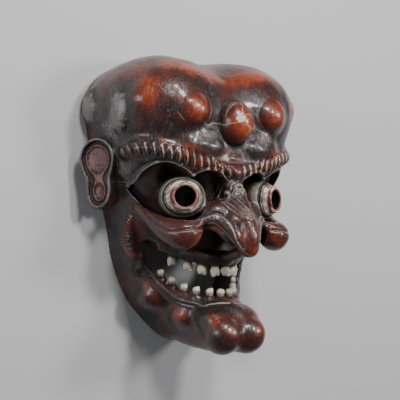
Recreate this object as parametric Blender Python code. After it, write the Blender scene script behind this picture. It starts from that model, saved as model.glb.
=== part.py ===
"""A grotesque face mask, carved from one block of wood and lacquered, lying on its flat back rim.

The wood is worked out as a solid of distances: forms are added and carved away one after
another, as on the bench, and the surface where the distance is nought becomes the mesh.
Places on the face are in parts, of which the mask's height is 296, so the carving follows
that height, while the wall, the holes, the ears and the eyes have sizes of their own.
+Z is the way the face looks, +Y is the crown, and +X is the mask's own left.
"""

import math

import bmesh
import bpy
import mathutils
import numpy as np

MASK_HEIGHT = 0.296
WALL_THICKNESS = 0.010
PUPIL_RADIUS = 0.0105
EYEBALL_RADIUS = 0.0235
EAR_THICKNESS = 0.009
EYELID_RIM = 0.0018
HAIR_GROOVE = 0.0015
CARVING_STEP = 0.0018
TRIANGLES = 9400

PARTS_HIGH = 296.0
PART = MASK_HEIGHT / PARTS_HIGH
SIDES = (-1, 1)
BACK_WASTE = 5.0

LACQUER_COLOUR = (0.16, 0.045, 0.028, 1.0)
LACQUER_ROUGHNESS = 0.38


def smooth_min(a, b, blend):
    """The lesser of two distances, rounded where they come within blend of each other."""
    near = np.clip(1.0 - np.abs(a - b) / blend, 0.0, 1.0)
    return np.minimum(a, b) - near * near * blend * 0.25


def smooth_max(a, b, blend):
    """The greater of two distances, rounded the same way."""
    return -smooth_min(-a, -b, blend)


def through(at, knots, values):
    """A smooth curve through values at knots, read at each point of at."""
    at = np.clip(at, knots[0], knots[-1])
    slope = np.gradient(values, knots)
    i = np.clip(np.searchsorted(knots, at) - 1, 0, len(knots) - 2)
    span = knots[i + 1] - knots[i]
    t = (at - knots[i]) / span
    start = (2 * t**3 - 3 * t**2 + 1) * values[i] + (t**3 - 2 * t**2 + t) * span * slope[i]
    end = (3 * t**2 - 2 * t**3) * values[i + 1] + (t**3 - t**2) * span * slope[i + 1]
    return start + end


def smooth_path(points, count):
    """count points along a smooth curve through the rows of points."""
    knots = np.arange(len(points), dtype=float)
    at = np.linspace(0, len(points) - 1, count)
    return np.stack([through(at, knots, column) for column in np.asarray(points, float).T], axis=1)


def on_side(side, points):
    """The same points on the mask's right (-1) or left (1)."""
    points = np.array(points, float)
    points[..., 0] *= side
    return points


def largest_piece(points, faces):
    """The largest connected surface alone, with no loose chip outside it or bubble inside."""
    piece = np.arange(len(points))
    settled = False
    while not settled:
        lower = piece.copy()
        np.minimum.at(lower, faces.ravel(), np.repeat(piece[faces].min(axis=1), 4))
        lower = lower[lower]
        settled = np.array_equal(lower, piece)
        piece = lower
    largest = np.bincount(piece).argmax()
    kept = np.flatnonzero(piece == largest)
    return points[kept], np.searchsorted(kept, faces[piece[faces[:, 0]] == largest])


class Egg:
    """An ellipsoid, its own Z axis turned from +Z towards +X by turn degrees."""

    def __init__(self, centre, radii, turn=0.0):
        self.centre = np.asarray(centre, float)
        self.radii = np.asarray(radii, float)
        c, s = math.cos(math.radians(turn)), math.sin(math.radians(turn))
        self.axes = np.array([[c, 0, -s], [0, 1, 0], [s, 0, c]])
        reach = np.abs(self.axes.T) @ self.radii
        self.low, self.high = self.centre - reach, self.centre + reach

    def distance(self, x, y, z):
        """Roughly how far each point is from the surface."""
        p = (x - self.centre[0], y - self.centre[1], z - self.centre[2])
        own = [sum(row[k] * p[k] for k in range(3)) for row in self.axes]
        ring = np.sqrt(sum((q / r) ** 2 for q, r in zip(own, self.radii)))
        slope = np.sqrt(sum((q / (r * r)) ** 2 for q, r in zip(own, self.radii)))
        return ring * (ring - 1.0) / np.maximum(slope, 1e-6)


class Roll:
    """A tube of changing radius along a smooth path; each point is x, y, z, radius."""

    def __init__(self, points, stretches=4):
        self.path = smooth_path(points, stretches * (len(points) - 1) + 1)
        reach = self.path[:, 3:]
        self.low = (self.path[:, :3] - reach).min(0)
        self.high = (self.path[:, :3] + reach).max(0)

    def distance(self, x, y, z):
        """How far each point is from the nearest of the tube's short straight stretches."""
        nearest = np.inf
        for a, b in zip(self.path[:-1], self.path[1:]):
            run = b - a
            p = (x - a[0], y - a[1], z - a[2])
            t = np.clip(sum(q * v for q, v in zip(p, run[:3])) / (run[:3] @ run[:3]), 0.0, 1.0)
            gap = np.sqrt(sum((q - t * v) ** 2 for q, v in zip(p, run[:3]))) - a[3] - t * run[3]
            nearest = np.minimum(nearest, gap)
        return nearest


class Section:
    """A tall form: at each height |x / half width|^power + |z / depth|^power is 1.

    Above top_from and below foot_from the same power rounds it closed over top_reach and
    foot_reach. Behind z = 0 it runs straight back.
    """

    def __init__(self, heights, widths, depths, powers, top, foot):
        self.rows = [np.asarray(v, float) for v in (heights, widths, depths, powers)]
        self.top_from, self.top_reach = top
        self.foot_from, self.foot_reach = foot
        self.low = np.array([-max(widths), self.foot_from - self.foot_reach, -BACK_WASTE])
        self.high = np.array([max(widths), self.top_from + self.top_reach, max(depths)])

    def level(self, x, y, z):
        """Below 0 inside, 0 on the surface and above 0 outside."""
        heights, widths, depths, powers = self.rows
        power = through(y, heights, powers)
        over = np.maximum(y - self.top_from, 0.0) / self.top_reach
        over = over + np.maximum(self.foot_from - y, 0.0) / self.foot_reach
        across = np.abs(x) / through(y, heights, widths)
        out = np.maximum(z, 0.0) / through(y, heights, depths)
        return (across**power + out**power + over**power) ** (1.0 / power) - 1.0

    def distance(self, x, y, z):
        """The level over its own slope, which is the distance near the surface."""
        nudge = 0.5
        level = self.level(x, y, z)
        slope = [
            (self.level(x + nudge, y, z) - level) / nudge,
            (self.level(x, y + nudge, z) - level) / nudge,
            (self.level(x, y, z + nudge) - level) / nudge,
        ]
        return level / np.maximum(np.sqrt(sum(s * s for s in slope)), 2e-3)


class Block:
    """The wood, as distances on a grid of points: negative inside, positive in the air."""

    def __init__(self, low, high, step):
        self.step = step
        self.axes = [np.arange(a, b, step) for a, b in zip(low, high)]
        self.gaps = np.full([len(a) for a in self.axes], 50.0)

    def around(self, form, margin):
        """The part of the grid within margin of a form's box, and its points."""
        cuts = tuple(
            slice(np.searchsorted(a, low - margin), np.searchsorted(a, high + margin))
            for a, low, high in zip(self.axes, form.low, form.high)
        )
        points = np.meshgrid(*(a[c] for a, c in zip(self.axes, cuts)), indexing="ij", sparse=True)
        return cuts, points

    def add(self, form, blend=3.0):
        """Adds a form, filleted where it meets the wood."""
        cuts, points = self.around(form, blend + 2 * self.step)
        self.gaps[cuts] = smooth_min(self.gaps[cuts], form.distance(*points), blend)

    def carve(self, form, blend=1.5):
        """Carves a form away, with its edge rounded."""
        cuts, points = self.around(form, blend + 2 * self.step)
        self.gaps[cuts] = smooth_max(self.gaps[cuts], -form.distance(*points), blend)

    def read(self, points):
        """The distance at each point, between the grid's own."""
        at = (points - np.array([a[0] for a in self.axes])) / self.step
        cell = np.floor(at).astype(int)
        part = at - cell
        gap = 0.0
        for corner in np.ndindex(2, 2, 2):
            share = np.where(corner, part, 1.0 - part).prod(axis=1)
            gap = gap + share * self.gaps[tuple((cell + corner).T)]
        return gap

    def surface(self, start, way, reach):
        """The last place in the wood on the way out from start."""
        t = np.arange(0.0, reach, 0.25)
        line = np.asarray(start, float) + t[:, None] * np.asarray(way, float)
        return line[np.flatnonzero(self.read(line) < 0)[-1]]

    def laid(self, points, radius):
        """A tube laid on the face along points, each x, y."""
        path = smooth_path(points, 5 * (len(points) - 1) + 1)
        rows = [np.append(self.surface((x, y, 0), (0, 0, 1), 150), radius) for x, y in path]
        return Roll(rows, 1)

    def untangle(self):
        """Fills the wood in where two corners of it would touch only along a line."""
        for _ in range(6):
            for first, second in ((0, 1), (0, 2), (1, 2)):
                a = self.corner(first, 0, second, 0)
                b = self.corner(first, 1, second, 0)
                c = self.corner(first, 0, second, 1)
                d = self.corner(first, 1, second, 1)
                saddle = ((a < 0) == (d < 0)) & ((b < 0) == (c < 0)) & ((a < 0) != (b < 0))
                for corner in (a, b, c, d):
                    corner[saddle] = np.minimum(corner[saddle], -0.05 * self.step)

    def corner(self, first, i, second, j):
        """The grid moved on by i steps along one axis and j along another."""
        cuts = [slice(None)] * 3
        cuts[first] = slice(i, self.gaps.shape[first] - 1 + i)
        cuts[second] = slice(j, self.gaps.shape[second] - 1 + j)
        return self.gaps[tuple(cuts)]

    def skin(self):
        """The surface's points and four-sided faces, one point in each cell it passes through."""
        for axis in range(3):
            for end in (0, -1):
                face = np.moveaxis(self.gaps, axis, 0)[end]
                np.maximum(face, self.step, out=face)
        self.untangle()
        shape = np.array(self.gaps.shape)
        cells, places, flips = [], [], []
        for axis in range(3):
            step = np.eye(3, dtype=int)[axis]
            one, other = np.roll(np.eye(3, dtype=int), -axis, axis=0)[1:]
            inside = self.gaps < 0
            ends = [slice(None)] * 3
            ends[axis] = slice(1, None)
            starts = [slice(None)] * 3
            starts[axis] = slice(None, -1)
            at = np.argwhere(inside[tuple(starts)] != inside[tuple(ends)])
            before = self.gaps[tuple(at.T)]
            after = self.gaps[tuple((at + step).T)]
            place = at + (before / (before - after))[:, None] * step
            around = [at, at - one, at - one - other, at - other]
            cells.append(np.stack([np.ravel_multi_index(c.T, shape) for c in around], axis=1))
            places.append(np.repeat(place[:, None], 4, axis=1))
            flips.append(before < 0)
        cells, places, flips = (np.concatenate(v) for v in (cells, places, flips))
        used, index = np.unique(cells.ravel(), return_inverse=True)
        count = np.bincount(index)
        points = [np.bincount(index, weights=p) / count for p in places.reshape(-1, 3).T]
        origin = np.array([a[0] for a in self.axes])
        faces = index.reshape(-1, 4)
        faces[~flips] = faces[~flips][:, ::-1]
        return largest_piece(origin + np.stack(points, axis=1) * self.step, faces)


class Drawn:
    """A straight cut along Z with a drawn outline, kept within another form where one is given."""

    def __init__(self, curves, front, back, within=None):
        drawn = [smooth_path(curve, 4 * (len(curve) - 1) + 1)[:-1] for curve in curves]
        self.outline = np.concatenate(drawn)
        self.front, self.back, self.within = front, back, within
        self.low = np.append(self.outline.min(0), back)
        self.high = np.append(self.outline.max(0), front)

    def distance(self, x, y, z):
        """The greater of the distances to the outline, seen from the front, and to the ends."""
        nearest = np.inf
        crossings = 0
        for a, b in zip(self.outline, np.roll(self.outline, -1, axis=0)):
            run = b - a
            t = np.clip(((x - a[0]) * run[0] + (y - a[1]) * run[1]) / (run @ run), 0.0, 1.0)
            nearest = np.minimum(nearest, np.hypot(x - a[0] - t * run[0], y - a[1] - t * run[1]))
            spans = (y < a[1]) != (y < b[1])
            ahead = x < a[0] + (y - a[1]) * run[0] / (run[1] or 1e-9)
            crossings = crossings + (spans & ahead)
        flat = np.where(crossings % 2 == 1, -nearest, nearest)
        gap = np.maximum(flat, np.maximum(self.back - z, z - self.front))
        return gap if self.within is None else np.maximum(gap, self.within.distance(x, y, z))


class Ear:
    """A plate with the outline of two discs, one above the other, hollowed inside a rim."""

    def __init__(self, side, centre, lean, discs, rim, depth, thickness):
        c, s = math.cos(math.radians(lean)), math.sin(math.radians(lean))
        self.centre = on_side(side, centre)
        self.out = np.array([side * c, 0.0, -s])
        self.face = np.array([side * s, 0.0, c])
        self.discs, self.rim, self.depth, self.thickness = discs, rim, depth, thickness
        reach = np.array([30.0, 45.0, 30.0])
        self.low, self.high = self.centre - reach, self.centre + reach

    def distance(self, x, y, z):
        """The plate's distance, less the hollow's and with a low ring round the inner ear."""
        p = (x - self.centre[0], y - self.centre[1], z - self.centre[2])
        across = sum(a * q for a, q in zip(self.out, p))
        proud = sum(a * q for a, q in zip(self.face, p))
        outline = None
        for right, up, wide, tall in self.discs:
            disc = (np.sqrt(((across - right) / wide) ** 2 + ((p[1] - up) / tall) ** 2) - 1) * wide
            outline = disc if outline is None else smooth_min(outline, disc, 16.0)
        plate = smooth_max(outline, np.abs(proud) - self.thickness / 2, 2.5)
        hollow = np.maximum(outline + self.rim, self.thickness / 2 - self.depth - proud)
        ring = np.hypot(outline + 2.1 * self.rim, proud - self.thickness / 2 + self.depth) - 1.3
        return smooth_min(smooth_max(plate, -hollow, 1.2), ring, 1.0)


class Ring:
    """A bead bent round in a circle."""

    def __init__(self, centre, axis, radius, bead):
        self.centre, self.axis = np.asarray(centre, float), np.asarray(axis, float)
        self.radius, self.bead = radius, bead
        self.low, self.high = self.centre - radius - bead, self.centre + radius + bead

    def distance(self, x, y, z):
        """How far each point is from the bead."""
        p = (x - self.centre[0], y - self.centre[1], z - self.centre[2])
        along = sum(a * q for a, q in zip(self.axis, p))
        out = np.sqrt(np.maximum(sum(q * q for q in p) - along**2, 0.0))
        return np.hypot(out - self.radius, along) - self.bead


class Bowl:
    """What lies within an egg, or less than depth under another form's surface."""

    def __init__(self, egg, form, depth):
        self.egg, self.form, self.depth = egg, form, depth

    def distance(self, x, y, z):
        """The lesser of the two distances."""
        return np.minimum(self.egg.distance(x, y, z), -self.form.distance(x, y, z) - self.depth)


def head_forms():
    """The head before it is carved, and the hollow behind it."""
    heights = [-150, -120, -100, -80, -60, -30, 0, 30, 60, 90, 145]
    widths = np.array([36, 47, 57, 67, 74, 80, 88, 98, 102, 109, 110])
    depths = np.array([96, 96, 95, 93, 91, 92, 98, 106, 106, 104, 100])
    powers = [1.8, 1.7, 1.6, 1.55, 1.6, 2.0, 2.6, 2.9, 3.0, 2.9, 2.7]
    outer = Section(heights, widths, depths, powers, (68, 72), (-100, 44))
    wall = WALL_THICKNESS / PART
    inside = np.array([70, 76, 79, 79, 74, 66, 58, 62, 86, 90, 88])
    hollow = Section(heights, widths - wall, inside, powers, (68, 72 - wall), (-95, 44 - wall))
    return outer, hollow


def add_crown(block):
    """The two lobes of the crown and the knobs on the forehead and temples."""
    for side in SIDES:
        block.add(Egg(on_side(side, (49, 92, 46)), (52, 46, 62)), 20)
        block.add(Egg(on_side(side, (47, 82, 96)), (21, 21, 21)), 5)
        block.add(Egg(on_side(side, (84, 92, 75)), (15, 17, 15)), 5)
        block.add(Egg(on_side(side, (98, 82, 56)), (9, 22, 11)), 5)
        block.add(Egg(on_side(side, (104, 90, 12)), (9, 18, 13)), 5)
        block.add(Egg(on_side(side, (30, 47, 98)), (26, 14, 15)), 12)
    block.add(Egg((0, 71, 107), (18.5, 22, 20)), 5)


BROW = [(96, 41, 60, 5), (92, 43.5, 71, 6.5), (85, 44, 80, 7), (74, 42, 89, 7.5), (62, 39, 95, 7.5),
        (48, 34, 99, 7.5), (33, 30, 103, 7.5), (15, 25, 106, 7), (0, 22, 106, 7)]
BROW_PITCH = 7.6


def add_brow(block):
    """The brow, one band from temple to temple."""
    for side in SIDES:
        block.add(Roll(on_side(side, BROW)), 7)


def carve_brow(block):
    """The brow's hairs, parted by short upright grooves."""
    path = smooth_path(BROW, 200)
    runs = np.diff(path, axis=0)
    along = np.concatenate([[0.0], np.cumsum(np.linalg.norm(runs[:, :3], axis=1))])
    turns = np.radians([-50, -25, 0, 20, 38])
    for place in np.arange(BROW_PITCH / 2, along[-1], BROW_PITCH):
        i = min(np.searchsorted(along, place), len(runs) - 1)
        out = np.array([runs[i, 2], 0.0, -runs[i, 0]])
        out /= np.linalg.norm(out)
        ways = [out * math.cos(t) + (0, math.sin(t), 0) for t in turns]
        rows = [np.append(block.surface(path[i, :3], way, 14), HAIR_GROOVE / PART) for way in ways]
        for side in SIDES:
            block.carve(Roll(on_side(side, rows), 1), 1.0)


SOCKET = [
    [(84.8, 10), (84.2, 15), (83.6, 20), (81.5, 25), (77, 29), (69, 30), (61, 27.5), (51, 23),
     (43.5, 17)],
    [(43.5, 17), (38, 21.5), (29, 23.5), (19, 21), (8, 13)],
    [(8, 13), (10, 6), (14, -3), (18, -11)],
    [(18, -11), (24, -16), (34, -21), (46, -24.5), (58, -24), (68, -17), (76.5, -5), (82, 3),
     (84.8, 10)],
]
EYE = (46.5, -2, 84)
GAZE = 25.0


def carve_sockets(block, head):
    """The eye sockets, with a rimmed, scalloped upper edge and a floor that follows the face."""
    for side in SIDES:
        for curve in SOCKET[:2]:
            block.add(block.laid(on_side(side, curve), EYELID_RIM / PART), 1.5)
        egg = Egg(on_side(side, (56, 3, 110)), (46, 38, 38), side * 32)
        curves = [on_side(side, curve) for curve in SOCKET]
        block.carve(Drawn(curves, 130, 30, Bowl(egg, head, 7)), 1.5)


def gaze(side):
    """The eyeball's centre, and the way it looks."""
    turn = math.radians(GAZE)
    return on_side(side, EYE), np.array([side * math.sin(turn), 0.0, math.cos(turn)])


def add_eyes(block):
    """The eyeballs, each with a raised ring round the pupil."""
    radius = EYEBALL_RADIUS / PART
    ring = PUPIL_RADIUS / PART + 2.0
    for side in SIDES:
        centre, ahead = gaze(side)
        block.add(Egg(centre, (radius, 0.87 * radius, radius)), 1.0)
        block.add(Ring(centre + ahead * math.sqrt(radius**2 - ring**2), ahead, ring, 1.5), 1.0)


def carve_pupils(block):
    """The pupils, cut right through for the wearer to look out."""
    pupil = PUPIL_RADIUS / PART
    for side in SIDES:
        centre, ahead = gaze(side)
        ends = [np.append(centre - ahead * 45, pupil), np.append(centre + ahead * 30, pupil)]
        block.carve(Roll(ends, 1), 0.8)


LOWER_LID = [(80, -11, 58, 3), (74, -20, 67, 5), (66, -28, 78, 6.5), (54, -32, 91, 7),
             (41, -29, 98, 6.5), (29, -22, 101, 5)]
CHEEK = [(80, -14, 55, 4), (76, -24, 65, 8), (69, -33, 79, 12), (62, -38, 93, 14.5),
         (55, -38, 101, 15), (49, -34, 103, 12)]


def add_cheeks(block):
    """The lower lids, and the bags under them that swell towards the nose."""
    for side in SIDES:
        block.add(Roll(on_side(side, LOWER_LID)), 6)
        block.add(Roll(on_side(side, CHEEK)), 3)


BRIDGE = [(0, 14, 102, 8.5), (0, -3, 113, 9), (0, -20, 124, 9.5), (0, -38, 131, 9.5),
          (0, -51, 131, 9.5)]
WING = [(36, -29, 102, 3.5), (34, -26, 106, 4), (29, -25, 110, 4.5), (24, -26, 114, 5),
        (19, -30, 119, 5), (15, -36, 123, 5), (11, -43, 127, 5), (6, -49, 129, 5.5)]
NOSTRIL = [(37, -40, 97, 7.5), (31, -36, 105, 9), (23, -41, 111, 9.5), (14, -50, 116, 8)]
CREST = [(37, -34, 99, 3), (31, -30, 105, 3.2), (24, -33, 112, 3.2), (18, -41, 118, 3),
         (13, -48, 121, 2)]
UPPER_LIP = [(0, -61, 95, 6.5), (13, -60.5, 89, 6.5), (25, -58, 78, 6.5), (37, -54, 64, 6),
             (48, -49, 53, 6)]


def add_nose(block):
    """The hooked nose with its flared wings, and the upper lip under it."""
    block.add(Roll(BRIDGE), 6)
    for side in SIDES:
        block.add(Egg(on_side(side, (14, -18, 104)), (20, 14, 14)), 8)
        block.add(Egg(on_side(side, (9, -29, 116)), (11, 14, 13)), 5)
        block.add(Roll(on_side(side, WING)), 5)
        block.carve(Roll(on_side(side, NOSTRIL)), 1.5)
        block.add(Roll(on_side(side, CREST)), 2)
        block.add(Roll(on_side(side, UPPER_LIP)), 3)
        block.add(Egg(on_side(side, (7, 4, 108)), (5.5, 5.5, 5)), 1.5)
    block.add(Egg((0, 9, 111), (5.5, 6, 5)), 1.5)
    block.add(Roll([(0, -52, 128, 6), (0, -56, 112, 6), (0, -60, 97, 6)]), 3)


MOUTH = [
    [(65, -52), (62, -43), (56, -46), (48, -51), (37, -58), (25, -63), (12, -66), (0, -67),
     (-12, -66), (-25, -63), (-37, -58), (-48, -51), (-56, -46), (-62, -43), (-65, -52)],
    [(-65, -52), (-61, -63), (-54, -74), (-45, -85), (-37, -91), (-29, -95), (-18, -98.5),
     (0, -100), (18, -98.5), (29, -95), (37, -91), (45, -85), (54, -74), (61, -63), (65, -52)],
]
LOWER_LIP = [(62, -57, 38, 3), (59, -69, 36, 4), (52, -82, 42, 4.5), (44, -92, 52, 5),
             (34, -100.5, 63, 5.5), (24, -105, 75, 6), (13, -107, 86, 6), (0, -107.5, 90, 6)]


def open_mouth(block):
    """The mouth, opened right through, with the lower lip round it."""
    block.carve(Drawn(MOUTH, 140, -30), 3)
    for side in SIDES:
        block.add(Roll(on_side(side, LOWER_LIP)), 3)


UPPER_TEETH = [(0, -73, 93), (10, -74, 89.5), (19, -72.5, 80), (27.5, -69, 68.5), (37.4, -63.5, 55)]
LOWER_TEETH = [(5, -94, 92), (14, -93.5, 86), (22.5, -92, 75.5), (30, -89, 65), (37.4, -82.5, 55),
               (44, -75, 45.5)]


def add_teeth(block):
    """Two rows of short round teeth, set apart along the jaws."""
    for side in SIDES:
        for x, y, z in UPPER_TEETH:
            block.add(Roll(on_side(side, [(x, y + 8, z, 4.8), (x, y, z, 4.8)]), 1), 1.5)
        for x, y, z in LOWER_TEETH:
            block.add(Roll(on_side(side, [(x, y - 10, z, 4.8), (x, y, z, 4.8)]), 1), 1.5)


def add_jaw(block):
    """The jutting jaw with its side bulges, and the two lobes of the chin."""
    block.add(Roll([(0, -98, 15, 30), (0, -116, 40, 31), (0, -125, 68, 27), (0, -131, 90, 22)]), 14)
    block.add(Egg((0, -118, 88), (30, 18, 26)), 8)
    for side in SIDES:
        block.add(Egg(on_side(side, (45, -97, 32)), (15, 16, 17)), 8)
        block.add(Egg(on_side(side, (27, -117, 60)), (12, 13, 14)), 7)
        block.add(Egg(on_side(side, (14.5, -134.5, 107)), (18.5, 19, 19.5)), 7)
        block.add(Egg(on_side(side, (20, -121, 99)), (13, 12, 14)), 6)


PAD = [(75, -21, 39, 3), (73, -32, 35, 6.5), (70, -44, 32, 8), (65, -57, 32, 6)]


def add_pads(block):
    """The raised pads beside the mouth, and a boss at each of its corners."""
    for side in SIDES:
        block.add(Roll(on_side(side, PAD)), 3)
        block.add(Egg(on_side(side, (59, -71, 30)), (8, 8, 8)), 2)


def add_ears(block):
    """The ears, each of two rounds, the upper the larger."""
    discs = [(0, 15, 19, 21), (-2, -17, 13, 17)]
    for side in SIDES:
        block.add(Egg(on_side(side, (93, 16, 24)), (12, 26, 15)), 6)
        block.add(Ear(side, (106.5, 21, 28), 58, discs, 3.2, 4.0, EAR_THICKNESS / PART), 2.5)


def carved_block(step):
    """The whole mask in a block sampled every step parts."""
    outer, hollow = head_forms()
    block = Block((-128, -166, -BACK_WASTE), (128, 152, 152), step)
    block.add(outer, 1)
    add_crown(block)
    add_jaw(block)
    add_brow(block)
    open_mouth(block)
    add_cheeks(block)
    carve_sockets(block, outer)
    add_eyes(block)
    add_nose(block)
    add_pads(block)
    block.carve(hollow, 3)
    carve_pupils(block)
    add_teeth(block)
    add_ears(block)
    carve_brow(block)
    return block


def skin_mesh(name, step):
    """The mask's skin as a mesh, in metres."""
    points, faces = carved_block(step / PART).skin()
    mesh = bpy.data.meshes.new(name)
    mesh.from_pydata((points * PART).tolist(), [], faces.tolist())
    mesh.update()
    return mesh


def flat_back():
    """The block that takes the wood's waste off behind the back rim."""
    reach = 2 * MASK_HEIGHT
    cutter_mesh = bpy.data.meshes.new("back_cutter")
    shape = bmesh.new()
    bmesh.ops.create_cube(shape, size=reach)
    bmesh.ops.translate(shape, verts=shape.verts, vec=(0.0, 0.0, -reach / 2))
    shape.to_mesh(cutter_mesh)
    shape.free()
    return bpy.data.objects.new("back_cutter", cutter_mesh)


def lacquer():
    """The dark red-brown lacquer over the whole mask."""
    material = bpy.data.materials.new("lacquered_wood")
    material.use_nodes = True
    shader = material.node_tree.nodes["Principled BSDF"]
    shader.inputs["Base Color"].default_value = LACQUER_COLOUR
    shader.inputs["Roughness"].default_value = LACQUER_ROUGHNESS
    return material


def main():
    """Makes the mask, lying on its back rim about the middle of the floor."""
    for old in list(bpy.data.objects):
        bpy.data.objects.remove(old)
    mesh = skin_mesh("mask", CARVING_STEP)
    mask = bpy.data.objects.new("mask", mesh)
    mask.data.materials.append(lacquer())
    cutter = flat_back()
    cutter.display_type = "WIRE"
    cutter.hide_render = True
    for name, thing in (("lacquered_mask", mask), ("cutters", cutter)):
        collection = bpy.data.collections.new(name)
        collection.objects.link(thing)
        bpy.context.scene.collection.children.link(collection)

    fewer = mask.modifiers.new("fewer_faces", "DECIMATE")
    fewer.ratio = TRIANGLES / (2 * len(mesh.polygons))
    fewer.use_symmetry = True
    fewer.symmetry_axis = "X"
    back = mask.modifiers.new("flat_back", "BOOLEAN")
    back.operation = "DIFFERENCE"
    back.solver = "EXACT"
    back.object = cutter

    done = mask.evaluated_get(bpy.context.evaluated_depsgraph_get()).to_mesh()
    corners = np.array([v.co[:] for v in done.vertices])
    middle = (corners.min(0) + corners.max(0)) / 2
    for thing in (mesh, cutter.data):
        thing.transform(mathutils.Matrix.Translation((-middle[0], -middle[1], 0.0)))


main()
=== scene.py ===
"""The looks of a lacquered grotesque mask that lies on its flat back rim.

The mask is one carved piece. Its wood is worked out as a solid of distances on a fine grid:
forms are added and carved away one after another, as on the bench, and the surface where the
distance is nought becomes the mesh. Each part of the face is a class that carves its forms
and then marks the skin where its paint, its wear, its painted shade and its painted sheen lie.
The finish reads those marks.
Places on the face are in parts, of which the mask's height is 296, as in the solid.
"""

import logging
import math
from collections.abc import Iterable, Sequence
from dataclasses import dataclass, field
from enum import Enum
from typing import Protocol

import bpy
import numpy as np
from mathutils import Matrix, Vector


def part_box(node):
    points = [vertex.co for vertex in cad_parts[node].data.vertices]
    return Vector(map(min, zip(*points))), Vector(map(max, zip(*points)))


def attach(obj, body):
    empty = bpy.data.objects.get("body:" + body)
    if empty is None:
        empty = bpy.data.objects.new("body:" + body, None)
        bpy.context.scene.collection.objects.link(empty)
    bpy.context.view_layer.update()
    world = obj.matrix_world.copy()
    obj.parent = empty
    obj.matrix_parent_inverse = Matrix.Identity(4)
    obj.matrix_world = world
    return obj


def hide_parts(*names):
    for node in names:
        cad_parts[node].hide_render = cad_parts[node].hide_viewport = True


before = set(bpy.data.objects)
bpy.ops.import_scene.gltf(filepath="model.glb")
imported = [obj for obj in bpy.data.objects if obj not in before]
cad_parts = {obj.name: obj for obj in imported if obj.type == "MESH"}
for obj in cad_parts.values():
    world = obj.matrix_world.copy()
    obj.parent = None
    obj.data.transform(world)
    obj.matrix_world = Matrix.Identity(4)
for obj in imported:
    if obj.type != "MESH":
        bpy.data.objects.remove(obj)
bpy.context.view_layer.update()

LOG = logging.getLogger("mask")

Array = np.ndarray
Row = tuple[float, ...]
Rows = tuple[Row, ...]
Colour = tuple[float, float, float]

MASK_HEIGHT = 0.296
PARTS_HIGH = 296.0
PART = MASK_HEIGHT / PARTS_HIGH
SIDES = (-1, 1)
BACK_WASTE = 4.0
BACK_EDGE = 0.8
GROOVE_EDGE = 0.8
AIR = 50.0
FINE_STEP = 1.1
TRIANGLES = 196_000
FAR = 60.0


class Mark(Enum):
    """What the skin keeps at each of its points for the finish to read."""

    CINNABAR = "cinnabar"
    # Grey scuffs, and the painted grey sheen laid on with them.
    GREY = "grey"
    # Painted shade in the corners and under the forms.
    SOOT = "soot"
    WORN_LINE = "worn_line"
    WORN_SIDE = "worn_side"
    WORN_AMOUNT = "worn_amount"
    CHIP = "chip"
    EYE = "eye"
    TOOTH = "tooth"
    TOOTH_RISE = "tooth_rise"
    EAR = "ear"
    PAD = "pad"
    PAD_TURN = "pad_turn"
    HAIR_TURN = "hair_turn"
    HAIR_RISE = "hair_rise"
    HAIR_BAND = "hair_band"
    CURL = "curl"
    HOLLOW = "hollow"
    EDGE = "edge"
    CAVITY = "cavity"


def smooth_min(a: Array, b: Array, blend: float) -> Array:
    """The lesser of two distances, rounded where they come within blend of each other."""
    near = np.clip(1.0 - np.abs(a - b) / blend, 0.0, 1.0)
    return np.minimum(a, b) - near * near * blend * 0.25


def smooth_max(a: Array, b: Array, blend: float) -> Array:
    """The greater of two distances, rounded the same way."""
    return -smooth_min(-a, -b, blend)


def rise(value: Array, low: float, high: float) -> Array:
    """0 below low, 1 above high and the smooth cubic 3t^2 - 2t^3 between them."""
    t = np.clip((value - low) / (high - low), 0.0, 1.0)
    return t * t * (3.0 - 2.0 * t)


def through(at: Array, knots: Array, values: Array) -> Array:
    """A smooth cubic curve through values at knots.

    Args:
        at: where the curve is read, held within the first and the last knot.
        knots: the places of the values, rising.
        values: what the curve passes through.

    Returns:
        The curve's value at each place.
    """
    at = np.clip(at, knots[0], knots[-1])
    slope = np.gradient(values, knots)
    i = np.clip(np.searchsorted(knots, at) - 1, 0, len(knots) - 2)
    span = knots[i + 1] - knots[i]
    t = (at - knots[i]) / span
    start = (2 * t**3 - 3 * t**2 + 1) * values[i] + (t**3 - 2 * t**2 + t) * span * slope[i]
    end = (3 * t**2 - 2 * t**3) * values[i + 1] + (t**3 - t**2) * span * slope[i + 1]
    return start + end


def smooth_path(points: Sequence[Row] | Array, count: int) -> Array:
    """count points along a smooth curve through the rows of points.

    Args:
        points: a few rows, all of one width.
        count: how many points the line has.

    Returns:
        The line's points, a row each.
    """
    knots = np.arange(len(points), dtype=float)
    at = np.linspace(0, len(points) - 1, count)
    return np.stack([through(at, knots, column) for column in np.asarray(points, float).T], axis=1)


def on_side(side: int, points: Sequence[Row] | Row | Array) -> Array:
    """The same points on the mask's right (-1) or left (1).

    Args:
        side: -1 for the mask's right, 1 for its left.
        points: one row or more, each starting with x.

    Returns:
        A copy of the points, with x on that side.
    """
    points = np.array(points, float)
    points[..., 0] *= side
    return points


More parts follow.
